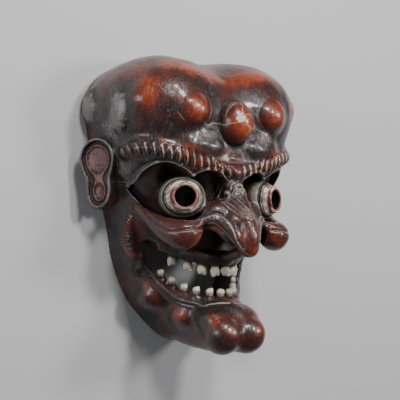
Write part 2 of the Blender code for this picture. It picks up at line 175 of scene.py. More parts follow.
@dataclass(frozen=True)
class Followed:
    """Where points on a surface lie beside a path drawn on it."""

    gap: Array
    across: Array
    along: Array

    @classmethod
    def by(cls, points: Array, ways: Array, path: Array) -> "Followed":
        """Finds the nearest place on the path for each point.

        The way across is the path's own direction crossed with the way out of the surface, so
        that across is nought on the path itself and runs evenly from one side to the other.

        Args:
            points: places on the surface.
            ways: the way out of the surface at each.
            path: the path's points.

        Returns:
            How far each point is from the path, across it and along it.
        """
        gap = np.full(len(points), FAR)
        across, along = gap.copy(), np.zeros(len(points))
        reached = 0.0
        for a, b in zip(path[:-1], path[1:]):
            long = max(np.linalg.norm(b - a), 1e-6)
            run = (b - a) / long
            at = np.clip((points - a) @ run, 0.0, long)
            off = points - a - at[:, None] * run
            away = np.linalg.norm(off, axis=1)
            nearer = away < gap
            gap[nearer] = away[nearer]
            along[nearer] = reached + at[nearer]
            across[nearer] = (off[nearer] * np.cross(run, ways[nearer])).sum(axis=1)
            reached += long
        return cls(gap, across, along)


def largest_piece(points: Array, faces: Array) -> tuple[Array, Array]:
    """The largest connected surface alone, with no loose chip outside it or bubble inside.

    Args:
        points: every corner's place.
        faces: four corners' numbers for each face.

    Returns:
        The points and the faces of that surface.
    """
    piece = np.arange(len(points))
    settled = False
    while not settled:
        lower = piece.copy()
        np.minimum.at(lower, faces.ravel(), np.repeat(piece[faces].min(axis=1), 4))
        lower = lower[lower]
        settled = np.array_equal(lower, piece)
        piece = lower
    largest = np.bincount(piece).argmax()
    kept = np.flatnonzero(piece == largest)
    return points[kept], np.searchsorted(kept, faces[piece[faces[:, 0]] == largest])


class Form(Protocol):
    """A shape that knows its box and how far any point is from its surface."""

    low: Array
    high: Array

    def distance(self, x: Array, y: Array, z: Array) -> Array:
        """Negative inside, positive outside."""


class Egg:
    """An ellipsoid, its own Z axis turned from +Z towards +X by turn degrees."""

    def __init__(self, centre: Row | Array, radii: Row, turn: float = 0.0) -> None:
        """Keeps the ellipsoid's own axes and its box.

        Args:
            centre: its middle.
            radii: its three radii.
            turn: degrees from +Z towards +X.
        """
        self.centre = np.asarray(centre, float)
        self.radii = np.asarray(radii, float)
        c, s = math.cos(math.radians(turn)), math.sin(math.radians(turn))
        self.axes = np.array([[c, 0, -s], [0, 1, 0], [s, 0, c]])
        reach = np.abs(self.axes.T) @ self.radii
        self.low, self.high = self.centre - reach, self.centre + reach

    def distance(self, x: Array, y: Array, z: Array) -> Array:
        """Scaled radius q less 1, over the slope of q, which is close to the distance.

        Args:
            x: how far across each point is.
            y: how far up each point is.
            z: how far out each point is.

        Returns:
            The distances, negative inside.
        """
        p = (x - self.centre[0], y - self.centre[1], z - self.centre[2])
        own = [sum(row[k] * p[k] for k in range(3)) for row in self.axes]
        ring = np.sqrt(sum((q / r) ** 2 for q, r in zip(own, self.radii)))
        slope = np.sqrt(sum((q / (r * r)) ** 2 for q, r in zip(own, self.radii)))
        return ring * (ring - 1.0) / np.maximum(slope, 1e-6)


class Roll:
    """A tube of changing radius along a smooth path; each point is x, y, z, radius."""

    def __init__(self, points: Sequence[Row] | Array, stretches: int = 4) -> None:
        """Keeps the path, cut into short straight stretches, and its box.

        Args:
            points: a few rows of x, y, z and radius.
            stretches: how many stretches lie between one row and the next.
        """
        self.path = smooth_path(points, stretches * (len(points) - 1) + 1)
        reach = self.path[:, 3:]
        self.low = (self.path[:, :3] - reach).min(0)
        self.high = (self.path[:, :3] + reach).max(0)

    def distance(self, x: Array, y: Array, z: Array) -> Array:
        """How far each point is from the nearest stretch, less the radius there.

        Args:
            x: how far across each point is.
            y: how far up each point is.
            z: how far out each point is.

        Returns:
            The distances, negative inside.
        """
        least = np.inf
        for a, b in zip(self.path[:-1], self.path[1:]):
            run = b - a
            p = (x - a[0], y - a[1], z - a[2])
            long = max(run[:3] @ run[:3], 1e-9)
            t = np.clip(sum(q * v for q, v in zip(p, run[:3])) / long, 0.0, 1.0)
            gap = np.sqrt(sum((q - t * v) ** 2 for q, v in zip(p, run[:3]))) - a[3] - t * run[3]
            least = np.minimum(least, gap)
        return least


class Section:
    """A tall form: at each height |x / half width|^power + |z / depth|^power is 1.

    Above top_from and below foot_from the same power rounds it closed over top_reach and
    foot_reach. Behind z = 0 it runs straight back.
    """

    def __init__(self, rows: Sequence[Array], top: Row, foot: Row) -> None:
        """Keeps the heights, half widths, depths and powers, and the box.

        Args:
            rows: the heights, and the half widths, depths and powers at them.
            top: the height where the top begins to round, and how far it reaches.
            foot: the height where the foot begins to round, and how far it reaches.
        """
        self.rows = [np.asarray(v, float) for v in rows]
        self.top_from, self.top_reach = top
        self.foot_from, self.foot_reach = foot
        _, widths, depths, _ = self.rows
        self.low = np.array([-max(widths), self.foot_from - self.foot_reach, -BACK_WASTE])
        self.high = np.array([max(widths), self.top_from + self.top_reach, max(depths)])

    def level(self, x: Array, y: Array, z: Array) -> Array:
        """Below 0 inside, 0 on the surface and above 0 outside.

        Args:
            x: how far across each point is.
            y: how far up each point is.
            z: how far out each point is.

        Returns:
            The level at each point.
        """
        heights, widths, depths, powers = self.rows
        power = through(y, heights, powers)
        over = np.maximum(y - self.top_from, 0.0) / self.top_reach
        over = over + np.maximum(self.foot_from - y, 0.0) / self.foot_reach
        across = np.abs(x) / through(y, heights, widths)
        out = np.maximum(z, 0.0) / through(y, heights, depths)
        return (across**power + out**power + over**power) ** (1.0 / power) - 1.0

    def distance(self, x: Array, y: Array, z: Array) -> Array:
        """The level over its own slope, which is the distance near the surface.

        Args:
            x: how far across each point is.
            y: how far up each point is.
            z: how far out each point is.

        Returns:
            The distances, negative inside.
        """
        nudge = 0.5
        level = self.level(x, y, z)
        slope = [
            (self.level(x + nudge, y, z) - level) / nudge,
            (self.level(x, y + nudge, z) - level) / nudge,
            (self.level(x, y, z + nudge) - level) / nudge,
        ]
        return level / np.maximum(np.sqrt(sum(s * s for s in slope)), 2e-3)


class Drawn:
    """A straight cut along Z with a drawn outline, kept within another form where one is given."""

    def __init__(self, curves: Iterable[Sequence[Row]], front: float, back: float,
                 within: Form | None = None) -> None:
        """Joins the curves into one closed outline.

        Args:
            curves: curves of x, y that follow one another round the outline.
            front: how far out the cut begins.
            back: how far out it ends.
            within: a form that the cut stays inside, if any.
        """
        drawn = [smooth_path(curve, 5 * (len(curve) - 1) + 1)[:-1] for curve in curves]
        self.outline = np.concatenate(drawn)
        self.front, self.back, self.within = front, back, within
        self.low = np.append(self.outline.min(0), back)
        self.high = np.append(self.outline.max(0), front)

    def distance(self, x: Array, y: Array, z: Array) -> Array:
        """The greater of the distances to the outline, seen from the front, and to the ends.

        Args:
            x: how far across each point is.
            y: how far up each point is.
            z: how far out each point is.

        Returns:
            The distances, negative inside.
        """
        least = np.inf
        crossings = 0
        for a, b in zip(self.outline, np.roll(self.outline, -1, axis=0)):
            run = b - a
            t = np.clip(((x - a[0]) * run[0] + (y - a[1]) * run[1]) / (run @ run), 0.0, 1.0)
            least = np.minimum(least, np.hypot(x - a[0] - t * run[0], y - a[1] - t * run[1]))
            spans = (y < a[1]) != (y < b[1])
            ahead = x < a[0] + (y - a[1]) * run[0] / (run[1] or 1e-9)
            crossings = crossings + (spans & ahead)
        flat = np.where(crossings % 2 == 1, -least, least)
        gap = np.maximum(flat, np.maximum(self.back - z, z - self.front))
        return gap if self.within is None else np.maximum(gap, self.within.distance(x, y, z))


class Ring:
    """A bead bent round in a circle."""

    def __init__(self, centre: Array, axis: Array, radius: float, bead: float) -> None:
        """Keeps the circle, the bead's radius and the box.

        Args:
            centre: the circle's middle.
            axis: the way through the circle.
            radius: the circle's radius.
            bead: the bead's radius.
        """
        self.centre, self.axis = np.asarray(centre, float), np.asarray(axis, float)
        self.radius, self.bead = radius, bead
        self.low, self.high = self.centre - radius - bead, self.centre + radius + bead

    def distance(self, x: Array, y: Array, z: Array) -> Array:
        """How far each point is from the circle, less the bead's radius.

        Args:
            x: how far across each point is.
            y: how far up each point is.
            z: how far out each point is.

        Returns:
            The distances, negative inside.
        """
        p = (x - self.centre[0], y - self.centre[1], z - self.centre[2])
        along = sum(a * q for a, q in zip(self.axis, p))
        out = np.sqrt(np.maximum(sum(q * q for q in p) - along**2, 0.0))
        return np.hypot(out - self.radius, along) - self.bead


class Bowl:
    """What lies within an egg, or less than depth under another form's surface."""

    def __init__(self, egg: Egg, form: Form, depth: float) -> None:
        """Keeps the egg, the form and the depth."""
        self.egg, self.form, self.depth = egg, form, depth
        self.low, self.high = egg.low, egg.high

    def distance(self, x: Array, y: Array, z: Array) -> Array:
        """The lesser of the two distances."""
        return np.minimum(self.egg.distance(x, y, z), -self.form.distance(x, y, z) - self.depth)


class Block:
    """The wood, as distances on a grid of points: negative inside, positive in the air."""

    def __init__(self, low: Row, high: Row, step: float) -> None:
        """Fills a box of air with points every step.

        Args:
            low: the box's lower corner.
            high: its upper corner.
            step: how far apart the points are.
        """
        self.step = step
        self.axes = [np.arange(a, b, step) for a, b in zip(low, high)]
        self.gaps = np.full([len(a) for a in self.axes], AIR, np.float32)

    def around(self, form: Form, margin: float) -> tuple[tuple[slice, ...], list[Array]]:
        """The part of the grid within margin of a form's box, and its points.

        Args:
            form: the form.
            margin: how far the part reaches past its box.

        Returns:
            The grid's slices, and the points' x, y and z.
        """
        cuts = tuple(
            slice(np.searchsorted(a, low - margin), np.searchsorted(a, high + margin))
            for a, low, high in zip(self.axes, form.low, form.high)
        )
        points = np.meshgrid(*(a[c] for a, c in zip(self.axes, cuts)), indexing="ij", sparse=True)
        return cuts, points

    def add(self, form: Form, blend: float) -> None:
        """Adds a form, filleted where it meets the wood."""
        cuts, points = self.around(form, blend + 2 * self.step)
        self.gaps[cuts] = smooth_min(self.gaps[cuts], form.distance(*points), blend)

    def carve(self, form: Form, blend: float) -> None:
        """Carves a form away, with its edge rounded."""
        cuts, points = self.around(form, blend + 2 * self.step)
        self.gaps[cuts] = smooth_max(self.gaps[cuts], -form.distance(*points), blend)

    def egg(self, side: int, row: Row) -> None:
        """Adds an egg on one side, by its centre, its three radii and its fillet."""
        self.add(Egg(on_side(side, row[:3]), row[3:6]), row[6])

    def roll(self, side: int, rows: Rows, blend: float) -> None:
        """Adds a tube on one side."""
        self.add(Roll(on_side(side, rows)), blend)

    def plane_back(self) -> None:
        """Planes the wood flat at z = 0."""
        self.gaps = smooth_max(self.gaps, -self.axes[2].astype(np.float32), BACK_EDGE)

    def read(self, points: Array, grid: Array | None = None) -> Array:
        """The distance at each point, or another grid's value, between the grid's own points.

        Args:
            points: the places.
            grid: another grid of the same size, where not the distances.

        Returns:
            A value for each place.
        """
        grid = self.gaps if grid is None else grid
        at = (points - np.array([a[0] for a in self.axes])) / self.step
        cell = np.clip(np.floor(at).astype(int), 0, np.array(grid.shape) - 2)
        part = at - cell
        value = 0.0
        for corner in np.ndindex(2, 2, 2):
            share = np.where(corner, part, 1.0 - part).prod(axis=1)
            value = value + share * grid[tuple((cell + corner).T)]
        return value

    def slope(self, points: Array) -> Array:
        """The unit way out of the wood at each point, from differences one step apart.

        Args:
            points: the places.

        Returns:
            A way for each place.
        """
        nudge = self.step * np.eye(3)
        ways = [self.read(points + n) - self.read(points - n) for n in nudge]
        way = np.stack(ways, axis=1)
        return way / np.maximum(np.linalg.norm(way, axis=1, keepdims=True), 1e-6)

    def settle(self, points: Array, rounds: int = 4) -> Array:
        """The points moved onto the wood's surface by their distance along the way out.

        Args:
            points: places near the surface.
            rounds: how many times they are moved.

        Returns:
            The moved places.
        """
        for _ in range(rounds):
            gap = np.clip(self.read(points), -1.5, 1.5)
            points = points - gap[:, None] * self.slope(points)
        return points

    def thread(self, points: Sequence[Row] | Array, pitch: float = 1.2) -> Array:
        """A smooth line through points, laid on the wood's surface.

        Args:
            points: a few x, y, z near the surface.
            pitch: how far apart the line's own points are.

        Returns:
            The line's points, each on the surface.
        """
        points = np.asarray(points, float)
        length = np.linalg.norm(np.diff(points, axis=0), axis=1).sum()
        return self.settle(smooth_path(points, max(int(length / pitch), 2)))

    def groove(self, points: Sequence[Row] | Array, radius: float) -> None:
        """Cuts a round groove along a line laid on the surface.

        Args:
            points: a few x, y, z near the surface.
            radius: the groove's radius.
        """
        line = self.thread(points, pitch=2.0)
        rows = np.column_stack([line, np.full(len(line), radius)])
        self.carve(Roll(rows, 1), GROOVE_EDGE)

    def surface(self, start: Row | Array, way: Row | Array, reach: float) -> Array:
        """The last place in the wood on the way out from start.

        Args:
            start: where the line begins.
            way: the way that it runs.
            reach: how far it runs.

        Returns:
            The place, as x, y, z.
        """
        t = np.arange(0.0, reach, 0.25)
        line = np.asarray(start, float) + t[:, None] * np.asarray(way, float)
        return line[np.flatnonzero(self.read(line) < 0)[-1]]

    def lifted(self, flat: Array) -> Array:
        """The points x, y lifted onto the front of the face."""
        return np.array([self.surface((x, y, 0), (0, 0, 1), 150) for x, y in flat])

    def laid(self, points: Sequence[Row] | Array, radius: float) -> Roll:
        """A tube laid on the face along points, each x, y."""
        rows = self.lifted(smooth_path(points, 6 * (len(points) - 1) + 1))
        return Roll(np.column_stack([rows, np.full(len(rows), radius)]), 1)

    def fullness(self, reach: float) -> Array:
        """How much of the space within about reach of each grid point is wood.

        The share of wood is averaged over boxes, three times along each axis, by running sums.
        It is a half on a flat surface, less on a ridge and more in a hollow.

        Args:
            reach: about how far round each point the wood counts.

        Returns:
            A share from 0 to 1 for each grid point.
        """
        share = np.clip(0.5 - self.gaps / (2 * self.step), 0.0, 1.0).astype(np.float32)
        half = max(int(round(reach / self.step / 2)), 1)
        for _ in range(3):
            for axis in range(3):
                ends = [(half + 1, half) if k == axis else (0, 0) for k in range(3)]
                padded = np.pad(share, ends, mode="edge")
                total = np.cumsum(padded, axis=axis, dtype=np.float64)
                count = share.shape[axis]
                last = np.take(total, np.arange(2 * half + 1, 2 * half + 1 + count), axis=axis)
                first = np.take(total, np.arange(count), axis=axis)
                share = ((last - first) / (2 * half + 1)).astype(np.float32)
        return share

    def untangle(self) -> None:
        """Fills the wood in where two corners of it would touch only along a line."""
        for _ in range(6):
            for first, second in ((0, 1), (0, 2), (1, 2)):
                a = self.corner(first, 0, second, 0)
                b = self.corner(first, 1, second, 0)
                c = self.corner(first, 0, second, 1)
                d = self.corner(first, 1, second, 1)
                saddle = ((a < 0) == (d < 0)) & ((b < 0) == (c < 0)) & ((a < 0) != (b < 0))
                for corner in (a, b, c, d):
                    corner[saddle] = np.minimum(corner[saddle], -0.05 * self.step)

    def corner(self, first: int, i: int, second: int, j: int) -> Array:
        """The grid moved on by i steps along one axis and j along another.

        Args:
            first: the one axis.
            i: the steps along it, 0 or 1.
            second: the other axis.
            j: the steps along that, 0 or 1.

        Returns:
            A view of the distances, which can be written to.
        """
        cuts = [slice(None)] * 3
        cuts[first] = slice(i, self.gaps.shape[first] - 1 + i)
        cuts[second] = slice(j, self.gaps.shape[second] - 1 + j)
        return self.gaps[tuple(cuts)]

    def skin(self) -> tuple[Array, Array]:
        """The surface's points and four-sided faces, one point in each cell it passes through.

        Returns:
            The points, and four corners' numbers for each face.
        """
        for axis in range(3):
            for end in (0, -1):
                face = np.moveaxis(self.gaps, axis, 0)[end]
                np.maximum(face, self.step, out=face)
        self.untangle()
        shape = np.array(self.gaps.shape)
        cells, places, flips = [], [], []
        for axis in range(3):
            step = np.eye(3, dtype=int)[axis]
            one, other = np.roll(np.eye(3, dtype=int), -axis, axis=0)[1:]
            inside = self.gaps < 0
            ends = [slice(None)] * 3
            ends[axis] = slice(1, None)
            starts = [slice(None)] * 3
            starts[axis] = slice(None, -1)
            at = np.argwhere(inside[tuple(starts)] != inside[tuple(ends)])
            before = self.gaps[tuple(at.T)]
            after = self.gaps[tuple((at + step).T)]
            place = at + (before / (before - after))[:, None] * step
            around = [at, at - one, at - one - other, at - other]
            cells.append(np.stack([np.ravel_multi_index(c.T, shape) for c in around], axis=1))
            places.append(np.repeat(place[:, None], 4, axis=1))
            flips.append(before < 0)
        cells, places, flips = (np.concatenate(v) for v in (cells, places, flips))
        _, index = np.unique(cells.ravel(), return_inverse=True)
        count = np.bincount(index)
        points = [np.bincount(index, weights=p) / count for p in places.reshape(-1, 3).T]
        origin = np.array([a[0] for a in self.axes])
        faces = index.reshape(-1, 4)
        faces[~flips] = faces[~flips][:, ::-1]
        return largest_piece(origin + np.stack(points, axis=1) * self.step, faces)


@dataclass
class Skin:
    """The mask's skin: its points in parts, its three-sided faces and its marks."""

    block: Block
    points: Array
    faces: Array
    marks: dict[Mark, Array] = field(default_factory=dict)

    def __post_init__(self) -> None:
        """Starts every mark from its value where nothing is marked."""
        far = (Mark.WORN_LINE, Mark.WORN_SIDE, Mark.CHIP, Mark.EYE, Mark.TOOTH, Mark.PAD,
               Mark.HAIR_BAND, Mark.CURL)
        for mark in Mark:
            start = FAR if mark in far else -FAR if mark is Mark.EAR else 0.0
            self.marks[mark] = np.full(len(self.points), start)
        self.ways = self.block.slope(self.points)

    def columns(self) -> tuple[Array, Array, Array]:
        """The points' x, y and z."""
        return self.points[:, 0], self.points[:, 1], self.points[:, 2]

    def near(self, path: Array, reach: float) -> Array:
        """The numbers of the points within reach of a path's box."""
        low, high = path.min(0) - reach, path.max(0) + reach
        return np.flatnonzero(np.all((self.points > low) & (self.points < high), axis=1))

    def line(self, path: Array, amount: float) -> None:
        """Marks a rubbed line.

        Args:
            path: the line's points, on the surface.
            amount: how much of the pale ground shows, from 0 to 1.
        """
        close = self.near(path, 8.0)
        found = Followed.by(self.points[close], self.ways[close], path)
        nearer = found.gap < self.marks[Mark.WORN_LINE][close]
        changed = close[nearer]
        self.marks[Mark.WORN_LINE][changed] = found.gap[nearer]
        self.marks[Mark.WORN_SIDE][changed] = found.across[nearer]
        self.marks[Mark.WORN_AMOUNT][changed] = amount

    def form(self, mark: Mark, form: Form) -> None:
        """Marks how far the skin is from a form, where that is less than before."""
        self.marks[mark] = np.minimum(self.marks[mark], form.distance(*self.columns()))

    def thread(self, points: Sequence[Row] | Array, amount: float, pitch: float = 1.2) -> None:
        """Marks a rubbed line along points laid on the wood."""
        self.line(self.block.thread(points, pitch), amount)

    def blush(self, mark: Mark, rows: Rows) -> None:
        """Adds strength * exp(-(distance / reach)^2) round places, never past 1 in all.

        Args:
            mark: what is added to, on both sides.
            rows: x, y, z, one reach or one for each axis, and strength.
        """
        for side in SIDES:
            for x, y, z, *reach, strength in rows:
                far = np.linalg.norm((self.points - (side * x, y, z)) / reach, axis=1)
                share = strength * np.exp(-far * far)
                self.marks[mark] = 1.0 - (1.0 - self.marks[mark]) * (1.0 - share)


@dataclass
class Head:
    """The head before it is carved, and the hollow behind it."""

    heights: Row = (-150, -120, -100, -80, -60, -30, 0, 30, 60, 90, 145)
    widths: Row = (36, 47, 57, 67, 74, 80, 88, 98, 102, 109, 110)
    depths: Row = (96, 96, 95, 93, 91, 92, 98, 106, 106, 104, 100)
    powers: Row = (1.8, 1.7, 1.6, 1.55, 1.6, 2.0, 2.6, 2.9, 3.0, 2.9, 2.7)
    hollow_depths: Row = (70, 76, 79, 79, 74, 66, 58, 62, 86, 90, 88)
    wall: float = 10.0
    top: Row = (68, 72)
    foot: Row = (-100, 44)
    hollow_foot: float = -95
    # Grey patches: real scuffs, such as the pale ovals on the temples, and painted grey sheen and
    # highlights, such as on the forehead and the jaw.
    grey: Rows = ((103, 84, 60, 10, 21, 11, 1.0), (112, 87, 16, 9, 19, 13, 1.0),
                  (104, 60, 44, 16, 22, 18, 0.75), (92, 26, 48, 16, 14, 14, 0.55),
                  (82, -40, 22, 18, 22, 18, 0.45), (40, 60, 108, 16, 10, 12, 0.5),
                  (28, 99, 104, 12, 12, 12, 0.5), (24, 47, 109, 12, 8, 10, 0.45),
                  (70, 78, 100, 9, 12, 9, 0.5), (62, -78, 30, 12, 12, 12, 0.35),
                  (30, -118, 92, 12, 9, 14, 0.45), (34, 54, 106, 14, 7, 10, 0.6),
                  (58, -88, 36, 9, 9, 10, 0.45),
                  (86, 18, 60, 14, 24, 18, 0.40), (84, -22, 44, 12, 18, 14, 0.40),
                  (70, 32, 88, 22, 6, 14, 0.35), (70, -36, 84, 9, 9, 10, 0.35),
                  (24, -22, 110, 10, 7, 10, 0.35))

    def outer(self) -> Section:
        """The head's own outer form."""
        return Section((self.heights, self.widths, self.depths, self.powers), self.top, self.foot)

    def hollow(self) -> Section:
        """The hollow, a wall's thickness inside the outer form at the rim.

        Returns:
            The form to carve out.
        """
        widths = np.array(self.widths) - self.wall
        rows = (self.heights, widths, self.hollow_depths, self.powers)
        top = (self.top[0], self.top[1] - self.wall)
        return Section(rows, top, (self.hollow_foot, self.foot[1] - self.wall))

    def mark(self, skin: Skin) -> None:
        """Marks the hollow, the flat rim, and the grey of the scuffs and of the painted sheen.

        Args:
            skin: the skin to mark.
        """
        inner = 1.0 - rise(self.hollow().distance(*skin.columns()), 1.5, 4.5)
        rim = 1.0 - rise(skin.points[:, 2], 0.6, 2.4)
        skin.marks[Mark.HOLLOW] = np.maximum(inner, rim)
        skin.blush(Mark.GREY, self.grey)


@dataclass
class Crown:
    """The two lobes of the crown and the knobs on the forehead and temples."""

    lobes: Rows = ((49, 92, 46, 52, 46, 62, 20), (47, 82, 96, 21, 21, 21, 5),
                   (84, 92, 75, 15, 17, 15, 5), (98, 82, 56, 9, 22, 11, 5),
                   (104, 90, 12, 9, 18, 13, 5), (30, 47, 98, 26, 14, 15, 12))
    middle: Row = (0, 71, 107, 18.5, 22, 20, 5)
    red: Rows = ((86, 121, 68, 15, 0.6), (64, 127, 85, 16, 0.9), (44, 124, 92, 17, 1.0),
                 (24, 119, 93, 15, 0.95), (8, 112, 90, 12, 0.8), (48, 82, 118, 20, 1.0),
                 (89, 92, 88, 15, 1.0), (86, 106, 86, 12, 0.9), (0, 69, 127, 19, 1.0),
                 (70, 106, 92, 10, 0.4), (66, 118, 40, 40, 0.30), (95, 112, 48, 18, 0.30))
    chip: Row = (-5, 75, 125)
    cracks: tuple[Rows, ...] = (
        ((-5, 71, 126), (-12, 69, 119), (-16, 68, 113), (-24, 70, 108), (-31, 67, 108),
         (-37, 69, 110)),
        ((-4, 73, 126), (3, 68, 127), (9, 65, 125), (15, 64, 120), (20, 61, 112)),
        ((-5, 77, 126), (-2, 84, 124), (1, 90, 117)),
        ((-3, 76, 126), (4, 79, 126), (8, 77, 125)),
        ((3, 68, 127), (6, 63, 126), (4, 59, 125)),
        ((-17, 78, 116), (-13, 84, 116), (-8, 88, 117)),
    )
    scratch: Rows = ((-65, 77, 106), (-61, 71, 108))

    def carve(self, block: Block) -> None:
        """Adds every lobe and knob.

        Args:
            block: the wood to carve.
        """
        for row in self.lobes:
            for side in SIDES:
                block.egg(side, row)
        block.egg(1, self.middle)

    def mark(self, skin: Skin) -> None:
        """Marks the red of the lobes, the scratch, and the middle knob's cracks and chip.

        Args:
            skin: the skin to mark.
        """
        skin.blush(Mark.CINNABAR, self.red)
        for crack in self.cracks:
            skin.thread(crack, amount=0.8, pitch=1.0)
        skin.thread(self.scratch, amount=0.45, pitch=1.0)
        spot = skin.block.settle(np.array([self.chip], float))
        skin.marks[Mark.CHIP] = np.linalg.norm(skin.points - spot[0], axis=1)


@dataclass
class Brow:
    """The brow, one band of hairs from temple to temple, parted by short upright grooves."""

    path: Rows = ((96, 41, 60, 5), (92, 43.5, 71, 6.5), (85, 44, 80, 7), (74, 42, 89, 7.5),
                  (62, 39, 95, 7.5), (48, 34, 99, 7.5), (33, 30, 103, 7.5), (15, 25, 106, 7),
                  (0, 22, 106, 7))
    blend: float = 9.0
    pitch: float = 7.6
    groove: float = 1.5
    turns: Row = (-50, -25, 0, 20, 38)
    lean: float = 2.2
    near: float = 8.0
    red: Rows = ((74, 50, 94, 9, 0.6), (52, 46, 105, 10, 0.6), (58, 38, 102, 10, 0.75),
                 (40, 31, 109, 10, 0.8), (22, 27, 112, 10, 0.68), (4, 25, 112, 9, 0.45),
                 (8, 40, 108, 8, 0.5), (76, 42, 94, 8, 0.45))

    def run(self) -> tuple[Array, Array]:
        """The band's own line, closely set, and how far along it each point is.

        Returns:
            The points, and how far along each is.
        """
        path = smooth_path(self.path, 240)
        steps = np.linalg.norm(np.diff(path[:, :3], axis=0), axis=1)
        return path, np.concatenate([[0.0], np.cumsum(steps)])

    def carve_band(self, block: Block) -> None:
        """Adds the band."""
        for side in SIDES:
            block.roll(side, self.path, self.blend)

    def carve_hairs(self, block: Block) -> None:
        """Cuts a groove round the band at every pitch, leaning as the hairs do.

        Args:
            block: the wood to carve.
        """
        path, along = self.run()
        runs = np.diff(path[:, :3], axis=0)
        turns = np.radians(self.turns)
        for place in np.arange(self.pitch / 2, along[-1], self.pitch):
            i = min(int(np.searchsorted(along, place)), len(runs) - 1)
            out = np.array([runs[i, 2], 0.0, -runs[i, 0]])
            out /= np.linalg.norm(out)
            tangent = runs[i] / np.linalg.norm(runs[i])
            rows = []
            for turn in turns:
                way = out * math.cos(turn) + np.array([0.0, math.sin(turn), 0.0])
                start = path[i, :3] - tangent * self.lean * math.sin(turn)
                rows.append(np.append(block.surface(start, way, 14), self.groove))
            for side in SIDES:
                block.carve(Roll(on_side(side, rows), 1), blend=1.0)

    def mark(self, skin: Skin) -> None:
        """Marks the band, how many hairs along it each point is, and its red.

        Args:
            skin: the skin to mark.
        """
        path, along = self.run()
        for side in SIDES:
            skin.form(Mark.HAIR_BAND, Roll(on_side(side, self.path)))
        skin.blush(Mark.CINNABAR, self.red)
        close = np.flatnonzero(skin.marks[Mark.HAIR_BAND] < self.near)
        right = skin.points[close]
        right[:, 0] = np.abs(right[:, 0])
        found = Followed.by(right, skin.ways[close], path[:, :3])
        place = np.stack([np.interp(found.along, along, column) for column in path.T], axis=1)
        height = (right[:, 1] - place[:, 1]) / place[:, 3]
        skin.marks[Mark.HAIR_RISE][close] = height
        skin.marks[Mark.HAIR_TURN][close] = (found.along + self.lean * height) / self.pitch


